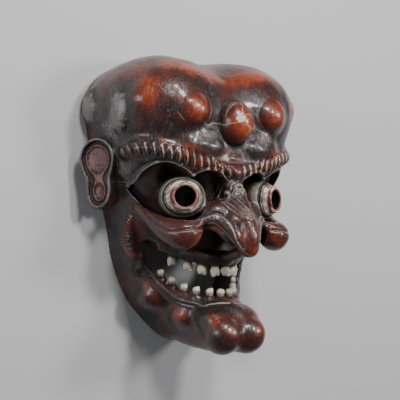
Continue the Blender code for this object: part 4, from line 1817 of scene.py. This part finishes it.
class Shader:
    """A material's nodes, with sums and mixes of their outputs."""

    def __init__(self, name: str) -> None:
        """Starts a material with no nodes.

        Args:
            name: the material's name.
        """
        self.material = bpy.data.materials.new(name)
        self.material.use_nodes = True
        self.tree = self.material.node_tree
        self.tree.nodes.clear()

    def node(self, kind: str, settings: dict[str, object], sockets: dict[str | int, object]
             ) -> bpy.types.Node:
        """Adds a node.

        Args:
            kind: the node's type.
            settings: its own settings, which are set first.
            sockets: a value or a signal for each of its inputs, by name or place.

        Returns:
            The node.
        """
        made = self.tree.nodes.new(kind)
        for key, value in settings.items():
            setattr(made, key, value)
        for key, value in sockets.items():
            if isinstance(value, Signal):
                self.tree.links.new(value.socket, made.inputs[key])
            else:
                made.inputs[key].default_value = value
        return made

    def out(self, made: bpy.types.Node, key: str | int = 0) -> Signal:
        """One of a node's outputs."""
        return Signal(self, made.outputs[key])

    def maths(self, operation: str, *values: Value) -> Signal:
        """One sum on values."""
        settings = {"operation": operation}
        return self.out(self.node("ShaderNodeMath", settings, dict(enumerate(values))))

    def mark(self, mark: Mark) -> Signal:
        """One of the skin's marks."""
        made = self.node("ShaderNodeAttribute", {"attribute_name": mark.value}, {})
        return self.out(made, "Fac")

    def place(self, stretch: Colour = (1.0, 1.0, 1.0)) -> Signal:
        """The place on the object, with each axis stretched."""
        place = self.out(self.node("ShaderNodeTexCoord", {}, {}), "Object")
        return self.out(self.node("ShaderNodeMapping", {}, {"Vector": place, "Scale": stretch}))

    def noise(self, size: float, detail: float, warp: float = 0.0,
              stretch: Colour = (1.0, 1.0, 1.0)) -> Signal:
        """Cloudy noise from 0 to 1 whose clouds are about size metres across.

        Args:
            size: the clouds' size, in metres.
            detail: how many finer layers it has.
            warp: how far the clouds are twisted.
            stretch: how much closer the clouds lie along each axis.

        Returns:
            The noise.
        """
        sockets = {"Vector": self.place(stretch), "Scale": 1.0 / size, "Detail": detail,
                   "Distortion": warp}
        return self.out(self.node("ShaderNodeTexNoise", {}, sockets), "Fac")

    def rise(self, value: Signal, low: float, high: float) -> Signal:
        """0 below low, 1 above high, smooth between.

        Args:
            value: the value.
            low: where it starts to rise.
            high: where it is 1.

        Returns:
            A share from 0 to 1.
        """
        settings = {"interpolation_type": "SMOOTHSTEP"}
        sockets = {"Value": value, "From Min": low, "From Max": high}
        return self.out(self.node("ShaderNodeMapRange", settings, sockets))

    def fall(self, value: Signal, low: float, high: float) -> Signal:
        """1 below low, 0 above high, smooth between."""
        return 1.0 - self.rise(value, low, high)

    def band(self, value: Signal, low: float, high: float, soft: float) -> Signal:
        """1 between low and high, 0 outside them, over a soft edge."""
        return self.rise(value, low - soft, low) * self.fall(value, high, high + soft)

    def mix(self, below: "Signal | Colour", above: "Signal | Colour", share: Value) -> Signal:
        """The share of one colour laid over another.

        Args:
            below: the colour underneath.
            above: the colour on top.
            share: how much of the upper one shows.

        Returns:
            The mixed colour.
        """
        settings = {"data_type": "RGBA", "clamp_factor": True}
        first, second = (c if isinstance(c, Signal) else (*c, 1.0) for c in (below, above))
        return self.out(self.node("ShaderNodeMix", settings, {0: share, 6: first, 7: second}), 2)

    def blend(self, below: Value, above: Value, share: Value) -> Signal:
        """The share of one value laid over another."""
        settings = {"data_type": "FLOAT", "clamp_factor": True}
        return self.out(self.node("ShaderNodeMix", settings, {0: share, 2: below, 3: above}), 0)


@dataclass(frozen=True)
class Coat:
    """A layer of finish: its colour, how rough it is, and how much clear gloss is on it."""

    colour: "Signal | Colour"
    rough: Value
    gloss: Value

    def under(self, above: "Coat", share: Signal) -> "Coat":
        """What shows when another coat covers that share of this one.

        Args:
            above: the other coat.
            share: how much of it shows.

        Returns:
            The two coats mixed.
        """
        shader = share.shader
        return Coat(
            shader.mix(self.colour, above.colour, share),
            shader.blend(self.rough, above.rough, share),
            shader.blend(self.gloss, above.gloss, share),
        )


@dataclass(frozen=True)
class Grain:
    """The noises that every finish is broken up by."""

    mottle: Signal
    fine: Signal
    streaks: Signal

    @classmethod
    def on(cls, shader: Shader) -> "Grain":
        """Clouds of about 13 mm and of about 3 mm, and streaks of about 2 mm by 7 mm.

        Args:
            shader: the material's nodes.

        Returns:
            The three noises.
        """
        return cls(
            shader.noise(0.013, detail=5.0, warp=1.1),
            shader.noise(0.0028, detail=4.0),
            shader.noise(0.0024, detail=3.0, warp=0.8, stretch=(1.0, 0.32, 1.0)),
        )

    def ruffle(self, value: Signal, **amounts: float) -> Signal:
        """The value moved by each named noise, up or down by half its amount at most.

        Args:
            value: the value to break up.
            amounts: how far each noise, by its name, moves it.

        Returns:
            The moved value.
        """
        for name, amount in amounts.items():
            value = value + (getattr(self, name) - 0.5) * amount
        return value


@dataclass(frozen=True)
class BlackLacquer:
    """The dark ground: brown-black lacquer, maroon in clouds, grey at the sides from scuffs and
    painted sheen.
    """

    black: Colour = (0.0165, 0.0118, 0.0120)
    maroon: Colour = (0.074, 0.0165, 0.0115)
    # The grey of the scuffs, laid on for the painted sheen as well.
    scuff_and_sheen: Colour = (0.270, 0.235, 0.232)

    def coat(self, shader: Shader, grain: Grain) -> Coat:
        """The ground's coat.

        Args:
            shader: the material's nodes.
            grain: the noises that break it up.

        Returns:
            The coat.
        """
        clouds = shader.noise(0.045, detail=3.0)
        grey = shader.mark(Mark.GREY)
        warm = shader.rise(clouds * 0.5 + grain.mottle * 0.5 - grey * 0.35, 0.38, 0.58)
        colour = shader.mix(self.black, self.maroon, warm * 0.9)
        # The grey patches and the thin streaks everywhere take the scuff colour: real scuffs in
        # part, painted grey sheen and highlights in part.
        broken = grain.ruffle(grey, streaks=0.6, mottle=0.5)
        worn = shader.rise(broken, 0.40, 0.84) * (0.35 + 0.75 * grain.streaks)
        thin = shader.rise(grain.streaks * 0.6 + grain.fine * 0.4, 0.50, 0.68)
        share = worn * 0.80 + thin * (0.14 + 0.16 * grey)
        rough = shader.blend(0.31 + grain.mottle * 0.14, 0.42, share)
        gloss = shader.blend(0.42, 0.22, share)
        return Coat(shader.mix(colour, self.scuff_and_sheen, share), rough, gloss)


@dataclass(frozen=True)
class Cinnabar:
    """The red lacquer on the lobes, deep where it is smoked and bright where it is rubbed."""

    deep: Colour = (0.092, 0.0170, 0.0110)
    bright: Colour = (0.335, 0.055, 0.0150)

    def coat(self, shader: Shader, grain: Grain) -> Coat:
        """The red's coat.

        Args:
            shader: the material's nodes.
            grain: the noises that break it up.

        Returns:
            The coat.
        """
        lit = shader.mark(Mark.CINNABAR) * 0.75 + grain.mottle * 0.45
        lit = grain.ruffle(lit, fine=0.35, streaks=0.35)
        colour = shader.mix(self.deep, self.bright, shader.rise(lit, 0.62, 1.10))
        return Coat(colour, rough=0.25 + grain.mottle * 0.14, gloss=0.5)

    def share(self, shader: Shader, grain: Grain) -> Signal:
        """Where it lies.

        Args:
            shader: the material's nodes.
            grain: the noises that break it up.

        Returns:
            How much of it shows, from 0 to 1.
        """
        strength = shader.mark(Mark.CINNABAR)
        strength = grain.ruffle(strength, mottle=0.85, fine=0.45, streaks=0.5)
        return shader.rise(strength, 0.24, 0.72)


@dataclass(frozen=True)
class RubbedEdge:
    """The pale ground that shows where lids, rims and ridges are rubbed through, and in cracks."""

    pale: Colour = (0.36, 0.300, 0.265)
    ochre: Colour = (0.50, 0.245, 0.105)
    width: float = 0.34

    def coat(self, shader: Shader) -> Coat:
        """The rubbed edge's coat, ochre where red lacquer lies round it."""
        warm = shader.rise(shader.mark(Mark.CINNABAR), 0.25, 0.7)
        return Coat(shader.mix(self.pale, self.ochre, warm * 0.8), rough=0.50, gloss=0.05)

    def share(self, shader: Shader, grain: Grain) -> Signal:
        """Along the rubbed lines, and in flecks on the sharpest ridges.

        Args:
            shader: the material's nodes.
            grain: the noises that break it up.

        Returns:
            How much of it shows, from 0 to 1.
        """
        broken = shader.rise(grain.mottle * 0.5 + grain.fine * 0.5, 0.34, 0.52)
        across = grain.ruffle(abs(shader.mark(Mark.WORN_SIDE)), fine=0.4)
        line = shader.fall(across, self.width, self.width + 0.45)
        line = line * shader.fall(shader.mark(Mark.WORN_LINE), 1.5, 2.4)
        line = line * shader.mark(Mark.WORN_AMOUNT) * (broken * 0.55 + 0.45)
        ridge = shader.rise(grain.ruffle(shader.mark(Mark.EDGE), fine=0.10), 0.14, 0.24)
        return shader.maths("MAXIMUM", line, ridge * broken * 0.34)


@dataclass(frozen=True)
class CreviceShade:
    """Black-brown painted shade in the fine grooves and the deep hollows."""

    colour: Colour = (0.0060, 0.0045, 0.0042)

    def coat(self) -> Coat:
        """The painted shade's coat."""
        return Coat(self.colour, rough=0.55, gloss=0.0)

    def share(self, shader: Shader, grain: Grain) -> Signal:
        """In the fine grooves, the deep hollows and the marked patches of painted shade.

        Args:
            shader: the material's nodes.
            grain: the noises that break it up.

        Returns:
            How much of it shows, from 0 to 1.
        """
        groove = grain.ruffle(0.0 - shader.mark(Mark.EDGE), fine=0.05)
        groove = shader.rise(groove, 0.045, 0.14)
        hollow = shader.rise(grain.ruffle(shader.mark(Mark.CAVITY), fine=0.06), 0.05, 0.17)
        # The marked patches of painted shade darken as the hollows do.
        hollow = shader.maths("MAXIMUM", hollow, shader.mark(Mark.SOOT))
        return shader.maths("MAXIMUM", groove * 0.9, hollow * 0.9)


@dataclass(frozen=True)
class Hairs:
    """The brow's hairs: on each a pale line, rubbed ground and painted highlight in one, and
    painted shade between them.
    """

    pale: Colour = (0.52, 0.36, 0.25)
    dark: Colour = (0.010, 0.006, 0.005)

    def over(self, shader: Shader, below: Coat, grain: Grain) -> Coat:
        """The brow's finish over the coat below it.

        Args:
            shader: the material's nodes.
            below: the coat under it.
            grain: the noises that break it up.

        Returns:
            The coat with this finish on it.
        """
        height = shader.mark(Mark.HAIR_RISE)
        place = shader.mark(Mark.HAIR_TURN)
        on_band = shader.fall(shader.mark(Mark.HAIR_BAND), 0.6, 2.0)
        on_band = on_band * shader.band(height, -0.78, 0.62, 0.25)
        turn = shader.maths("FRACT", place + 0.5)
        grooves = shader.rise(abs(turn - 0.5), 0.30, 0.42)
        # Painted shade in the grooves between the hairs.
        below = below.under(Coat(self.dark, rough=0.6, gloss=0.0), on_band * grooves * 0.92)
        # A pale line on one flank of each ridge: rubbed ground and painted highlight in one.
        offset = grain.ruffle(abs(turn - 0.73), fine=0.05)
        taper = 0.040 + 0.035 * height
        ridges = shader.fall(offset - taper, 0.0, 0.045)
        strong = shader.blend(0.35, 0.85, shader.rise(place, 2.5, 6.0))
        broken = shader.rise(grain.fine, 0.28, 0.44)
        pale = Coat(self.pale, rough=0.45, gloss=0.05)
        return below.under(pale, on_band * ridges * broken * strong)


@dataclass(frozen=True)
class EyePaint:
    """The painted eye: a red ring round the pupil, and a dirty white with a fine red line.

    Each place is a pair of distances out from the middle of the gaze, in parts.
    """

    white: Colour = (0.76, 0.71, 0.59)
    dirty: Colour = (0.080, 0.076, 0.050)
    red: Colour = (0.150, 0.016, 0.018)
    pink: Colour = (0.46, 0.22, 0.20)
    line: Colour = (0.10, 0.020, 0.017)
    black: Colour = (0.005, 0.004, 0.004)
    edge: Row = (22.4, 23.6)
    soiled_rim: Row = (19.2, 22.0)
    groove: Row = (19.2, 20.6)
    line_at: Row = (17.9, 18.5)
    blush: Row = (14.4, 16.6)
    ring: Row = (14.0, 14.6)
    lip: Row = (11.4, 12.3)
    hole: Row = (9.9, 11.0)

    def over(self, shader: Shader, below: Coat, grain: Grain) -> Coat:
        """The eye's finish over the coat below it.

        Args:
            shader: the material's nodes.
            below: the coat under it.
            grain: the noises that break it up.

        Returns:
            The coat with this finish on it.
        """
        out = grain.ruffle(shader.mark(Mark.EYE), mottle=0.9)
        stain = shader.rise(grain.mottle * 0.7 + grain.fine * 0.3, 0.42, 0.58)
        rim = shader.rise(out, *self.soiled_rim)
        darkened = shader.maths("MAXIMUM", stain * 0.85, rim * 0.85)
        white = Coat(shader.mix(self.white, self.dirty, darkened), rough=0.36, gloss=0.15)
        black = Coat(self.black, rough=0.5, gloss=0.0)
        coat = below.under(white, shader.fall(out, *self.edge))
        coat = coat.under(black, shader.band(out, *self.groove, 0.5) * 0.95)
        line = Coat(self.line, rough=0.45, gloss=0.1)
        coat = coat.under(line, shader.band(out, *self.line_at, 0.4) * 0.9)
        worn = shader.rise(grain.fine * 0.5 + grain.mottle * 0.5, 0.35, 0.6)
        pink = Coat(self.pink, rough=0.4, gloss=0.15)
        coat = coat.under(pink, shader.fall(out, *self.blush) * (0.45 + 0.45 * worn))
        red = shader.mix(self.red, self.black, worn * 0.5)
        coat = coat.under(Coat(red, rough=0.35, gloss=0.2), shader.fall(out, *self.ring) * 0.95)
        coat = coat.under(pink, shader.band(out, *self.lip, 0.4) * (0.85 - 0.5 * worn))
        return coat.under(black, shader.fall(out, *self.hole))


@dataclass(frozen=True)
class ToothPaint:
    """Old ivory paint on the teeth, with brown stain and painted shade towards the gums and
    between the cusps.
    """

    ivory: Colour = (0.66, 0.59, 0.47)
    stain: Colour = (0.085, 0.060, 0.034)
    root: Colour = (0.016, 0.010, 0.007)

    def over(self, shader: Shader, below: Coat, grain: Grain) -> Coat:
        """The teeth's finish over the coat below it.

        Args:
            shader: the material's nodes.
            below: the coat under it.
            grain: the noises that break it up.

        Returns:
            The coat with this finish on it.
        """
        # Brown in the creases between the cusps: painted shade, read from how hollow the surface
        # is.
        low = shader.mark(Mark.CAVITY) * 2.2 + grain.mottle * 0.5 + grain.fine * 0.4
        darkened = shader.rise(low - shader.mark(Mark.EDGE) * 5.0, 0.18, 0.80)
        height = grain.ruffle(shader.mark(Mark.TOOTH_RISE), fine=2.4)
        # Brown towards the gum is old stain and painted shade together; the near black at the gum
        # is painted shade.
        darkened = shader.maths("MAXIMUM", darkened, shader.fall(height, -4.0, 0.4))
        colour = shader.mix(self.ivory, self.stain, darkened * 0.9)
        colour = shader.mix(colour, self.root, shader.fall(height, -5.4, -3.4))
        coat = Coat(colour, rough=0.34, gloss=0.2)
        return below.under(coat, shader.fall(shader.mark(Mark.TOOTH), 0.2, 0.8))


@dataclass(frozen=True)
class EarPaint:
    """The ear: a grey rubbed rim, a black channel, and a dull red inner ear with a pink edge.

    Each place is a pair of distances in from the ear's outline, in parts.
    """

    rim: Colour = (0.185, 0.165, 0.155)
    channel: Colour = (0.008, 0.006, 0.006)
    inner: Colour = (0.158, 0.027, 0.024)
    pink: Colour = (0.215, 0.095, 0.082)
    rim_at: Row = (1.0, 1.5)
    channel_at: Row = (3.2, 5.6)
    inner_at: Row = (5.8, 6.6)
    edge_at: Row = (6.0, 6.5)

    def over(self, shader: Shader, below: Coat, grain: Grain) -> Coat:
        """The ear's finish over the coat below it.

        Args:
            shader: the material's nodes.
            below: the coat under it.
            grain: the noises that break it up.

        Returns:
            The coat with this finish on it.
        """
        deep = grain.ruffle(shader.mark(Mark.EAR), fine=0.5)
        broken = shader.rise(grain.fine * 0.6 + grain.mottle * 0.4, 0.36, 0.54)
        channel = Coat(self.channel, rough=0.5, gloss=0.05)
        coat = below.under(channel, shader.band(deep, *self.channel_at, 0.6))
        dark = shader.rise(grain.mottle * 0.6 + grain.streaks * 0.4, 0.40, 0.54)
        inner = Coat(shader.mix(self.inner, self.channel, dark * 0.75), rough=0.40, gloss=0.15)
        coat = coat.under(inner, shader.rise(deep, *self.inner_at))
        edge = shader.band(deep, *self.edge_at, 0.45) * broken * 0.7
        coat = coat.under(Coat(self.pink, rough=0.5, gloss=0.05), edge)
        rim = shader.band(deep, *self.rim_at, 0.5) * (broken * 0.6 + 0.2)
        return coat.under(Coat(self.rim, rough=0.5, gloss=0.05), rim)


@dataclass(frozen=True)
class PadPaint:
    """The ribbed pads: dull red on the ribs, pink where they are rubbed, black between them, and
    painted shade along their front.
    """

    red: Colour = (0.245, 0.036, 0.030)
    pink: Colour = (0.38, 0.12, 0.10)
    dark: Colour = (0.008, 0.005, 0.005)

    def over(self, shader: Shader, below: Coat, grain: Grain) -> Coat:
        """The pads' finish over the coat below it.

        Args:
            shader: the material's nodes.
            below: the coat under it.
            grain: the noises that break it up.

        Returns:
            The coat with this finish on it.
        """
        on_pad = shader.fall(shader.mark(Mark.PAD), 0.0, 1.6)
        away = abs(shader.maths("FRACT", shader.mark(Mark.PAD_TURN) + 0.5) - 0.5)
        rib = shader.rise(grain.ruffle(away, fine=0.10), 0.13, 0.30)
        rubbed = shader.rise(grain.ruffle(away, fine=0.30), 0.34, 0.52)
        colour = shader.mix(shader.mix(self.dark, self.red, rib), self.pink, rubbed * 0.55)
        # Painted shade along the front of the pad.
        colour = shader.mix(colour, self.dark, shader.mark(Mark.SOOT) * 0.85)
        return below.under(Coat(colour, rough=0.50, gloss=0.05), on_pad * 0.92)


@dataclass(frozen=True)
class Chips:
    """White ground where the lacquer is chipped away on the middle knob."""

    white: Colour = (0.68, 0.63, 0.54)

    def over(self, shader: Shader, below: Coat, grain: Grain) -> Coat:
        """The chip over the coat below it.

        Args:
            shader: the material's nodes.
            below: the coat under it.
            grain: the noises that break it up.

        Returns:
            The coat with this finish on it.
        """
        spot = grain.ruffle(shader.mark(Mark.CHIP), mottle=9.0, fine=8.0)
        white = Coat(self.white, rough=0.6, gloss=0.0)
        return below.under(white, shader.fall(spot, 3.4, 4.8) * 0.85)


@dataclass(frozen=True)
class CurlPaint:
    """The grey-white rubbed curls at the root of the nose."""

    pale: Colour = (0.30, 0.275, 0.26)

    def over(self, shader: Shader, below: Coat, grain: Grain) -> Coat:
        """The curls' finish over the coat below it.

        Args:
            shader: the material's nodes.
            below: the coat under it.
            grain: the noises that break it up.

        Returns:
            The coat with this finish on it.
        """
        on_curl = shader.fall(shader.mark(Mark.CURL), 0.3, 1.5)
        rubbed = shader.rise(grain.ruffle(shader.mark(Mark.EDGE), fine=0.12), 0.02, 0.13)
        return below.under(Coat(self.pale, rough=0.42, gloss=0.1), on_curl * rubbed * 0.30)


@dataclass(frozen=True)
class HollowFinish:
    """The inside: thin brown-black lacquer over gouge marks, worn to wood on the rim."""

    dark: Colour = (0.030, 0.017, 0.011)
    wood: Colour = (0.105, 0.055, 0.028)

    def coat(self, shader: Shader, grain: Grain) -> Coat:
        """The hollow's coat.

        Args:
            shader: the material's nodes.
            grain: the noises that break it up.

        Returns:
            The coat.
        """
        fibre = shader.noise(0.004, detail=3.0, warp=0.6, stretch=(1.0, 0.08, 1.0))
        bare = shader.rise(fibre * 0.5 + grain.mottle * 0.3 + grain.fine * 0.2, 0.48, 0.66)
        return Coat(shader.mix(self.dark, self.wood, bare * 0.7), rough=0.55, gloss=0.05)


@dataclass(frozen=True)
class MaskFinish:
    """Everything that is painted on the mask, from the ground up."""

    coat_roughness: float = 0.13
    bump_reach: float = 0.0011
    bump: float = 0.85

    def material(self) -> bpy.types.Material:
        """The one material of the mask.

        Returns:
            The material.
        """
        shader = Shader("lacquered_wood")
        grain = Grain.on(shader)
        red, crevice_shade, edge = Cinnabar(), CreviceShade(), RubbedEdge()
        coat = BlackLacquer().coat(shader, grain)
        coat = coat.under(red.coat(shader, grain), red.share(shader, grain))
        # Near-black painted shade in the grooves and hollows.
        coat = coat.under(crevice_shade.coat(), crevice_shade.share(shader, grain))
        for paint in (PadPaint(), Hairs(), CurlPaint()):
            coat = paint.over(shader, coat, grain)
        coat = coat.under(edge.coat(shader), edge.share(shader, grain))
        for paint in (EarPaint(), EyePaint(), ToothPaint(), Chips()):
            coat = paint.over(shader, coat, grain)
        hollow = HollowFinish().coat(shader, grain)
        self.finish(shader, coat.under(hollow, shader.mark(Mark.HOLLOW)), grain)
        return shader.material

    def finish(self, shader: Shader, coat: Coat, grain: Grain) -> None:
        """Joins the coat and the fine bumps to the surface.

        Args:
            shader: the material's nodes.
            coat: the whole coat.
            grain: the noises that break it up.
        """
        scratches = shader.noise(0.0011, detail=2.0, warp=0.6, stretch=(1.0, 0.25, 1.0))
        height = grain.mottle * 0.50 + grain.fine * 0.30 + grain.streaks * 0.45 + scratches * 0.12
        bump = shader.node("ShaderNodeBump", {}, {"Height": height, "Strength": self.bump,
                                                  "Distance": self.bump_reach})
        sockets = {"Base Color": coat.colour, "Roughness": coat.rough, "Coat Weight": coat.gloss,
                   "Coat Roughness": self.coat_roughness, "Normal": shader.out(bump)}
        surface = shader.node("ShaderNodeBsdfPrincipled", {}, sockets)
        shader.node("ShaderNodeOutputMaterial", {}, {"Surface": shader.out(surface)})


@dataclass(frozen=True)
class FloorFinish:
    """The plain pale floor."""

    colour: Colour = (0.62, 0.62, 0.63)

    def material(self) -> bpy.types.Material:
        """Matt paper, a very little uneven.

        Returns:
            The material.
        """
        shader = Shader("floor_paper")
        cloud = shader.noise(0.4, detail=2.0)
        low = tuple(0.96 * c for c in self.colour)
        surface = shader.node("ShaderNodeBsdfPrincipled", {}, {
            "Base Color": shader.mix(low, self.colour, cloud), "Roughness": 0.7 + cloud * 0.1})
        shader.node("ShaderNodeOutputMaterial", {}, {"Surface": shader.out(surface)})
        return shader.material


@dataclass
class Lamp:
    """A soft square lamp, placed by how far it is up, right and towards the camera."""

    name: str
    up: float
    right: float
    near: float
    size: float
    power: float
    colour: Colour


@dataclass
class Studio:
    """The floor, the soft light and the camera, set by the photograph's angle on the mask."""

    azimuth: float = 36.0
    elevation: float = -3.0
    distance: float = 1.25
    frame_width: float = 0.40
    sensor: float = 36.0
    focus_right: float = 0.030
    focus_near: float = 0.055
    raised: float = 0.0065
    floor_half: float = 4.0
    world: Colour = (0.80, 0.82, 0.85)
    world_strength: float = 0.13
    lamps: tuple[Lamp, ...] = (
        Lamp("key_lamp", 0.90, 0.35, 0.80, 0.24, 9.0, (1.0, 0.98, 0.95)),
        Lamp("spark_lamp", 0.60, 0.95, 0.80, 0.18, 9.0, (1.0, 0.98, 0.96)),
        Lamp("rim_lamp", 0.22, 1.20, 0.30, 0.26, 5.5, (1.0, 0.99, 0.98)),
        Lamp("side_lamp", 0.25, -0.85, 1.00, 0.50, 5.0, (0.93, 0.96, 1.0)),
    )

    def axes(self) -> tuple[Vector, Vector, Vector]:
        """The camera's right, its up, and the way from the mask to it.

        Returns:
            The three ways.
        """
        a, e = math.radians(self.azimuth), math.radians(self.elevation)
        near = Vector((-math.sin(a) * math.cos(e), math.sin(e), math.cos(a) * math.cos(e)))
        right = Vector((math.cos(a), 0.0, math.sin(a)))
        return right, near.cross(right), near

    def focus(self) -> Vector:
        """The point in the middle of the picture."""
        right, _, near = self.axes()
        return right * self.focus_right + near * self.focus_near + Vector((0, self.raised, 0))

    def set_camera(self) -> None:
        """Looks at the mask from the photograph's angle."""
        right, up, near = self.axes()
        camera = bpy.data.cameras.new("camera")
        camera.sensor_width = self.sensor
        camera.lens = self.sensor * self.distance / self.frame_width
        holder = placed("camera", camera)
        turned = Matrix((right, up, near)).transposed().to_4x4()
        turned.translation = self.focus() + near * self.distance
        holder.matrix_world = turned
        bpy.context.scene.camera = holder

    def set_lamps(self) -> None:
        """Hangs the lamps, each turned to the mask, and lights the room."""
        right, up, near = self.axes()
        for lamp in self.lamps:
            light = bpy.data.lights.new(lamp.name, "AREA")
            light.size = lamp.size
            light.energy = lamp.power
            light.color = lamp.colour
            holder = placed(lamp.name, light)
            holder.location = self.focus() + up * lamp.up + right * lamp.right + near * lamp.near
            way = self.focus() - holder.location
            holder.rotation_euler = way.to_track_quat("-Z", "Y").to_euler()
        world = bpy.data.worlds.new("room")
        world.use_nodes = True
        background = world.node_tree.nodes["Background"]
        background.inputs["Color"].default_value = (*self.world, 1.0)
        background.inputs["Strength"].default_value = self.world_strength
        bpy.context.scene.world = world

    def lay_floor(self) -> None:
        """Lays the floor under the mask's rim."""
        half = self.floor_half
        corners = [(-half, -half, 0.0), (half, -half, 0.0), (half, half, 0.0), (-half, half, 0.0)]
        mesh = bpy.data.meshes.new("floor")
        mesh.from_pydata(corners, [], [(0, 1, 2, 3)])
        mesh.materials.append(FloorFinish().material())
        floor = placed("floor", mesh)


def main() -> None:
    """Carves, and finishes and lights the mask."""
    logging.basicConfig(level=logging.INFO, format="%(name)s: %(message)s")
    studio = Studio()
    studio.set_camera()
    studio.set_lamps()
    studio.lay_floor()
    LOG.info("studio set")
    mask = Mask().make(FINE_STEP)
    mask.data.materials.append(MaskFinish().material())
    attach(mask, "root")
    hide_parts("mask")
    LOG.info("%s: %d triangles", mask.name, len(mask.data.polygons))


if __name__ == "__main__":
    main()
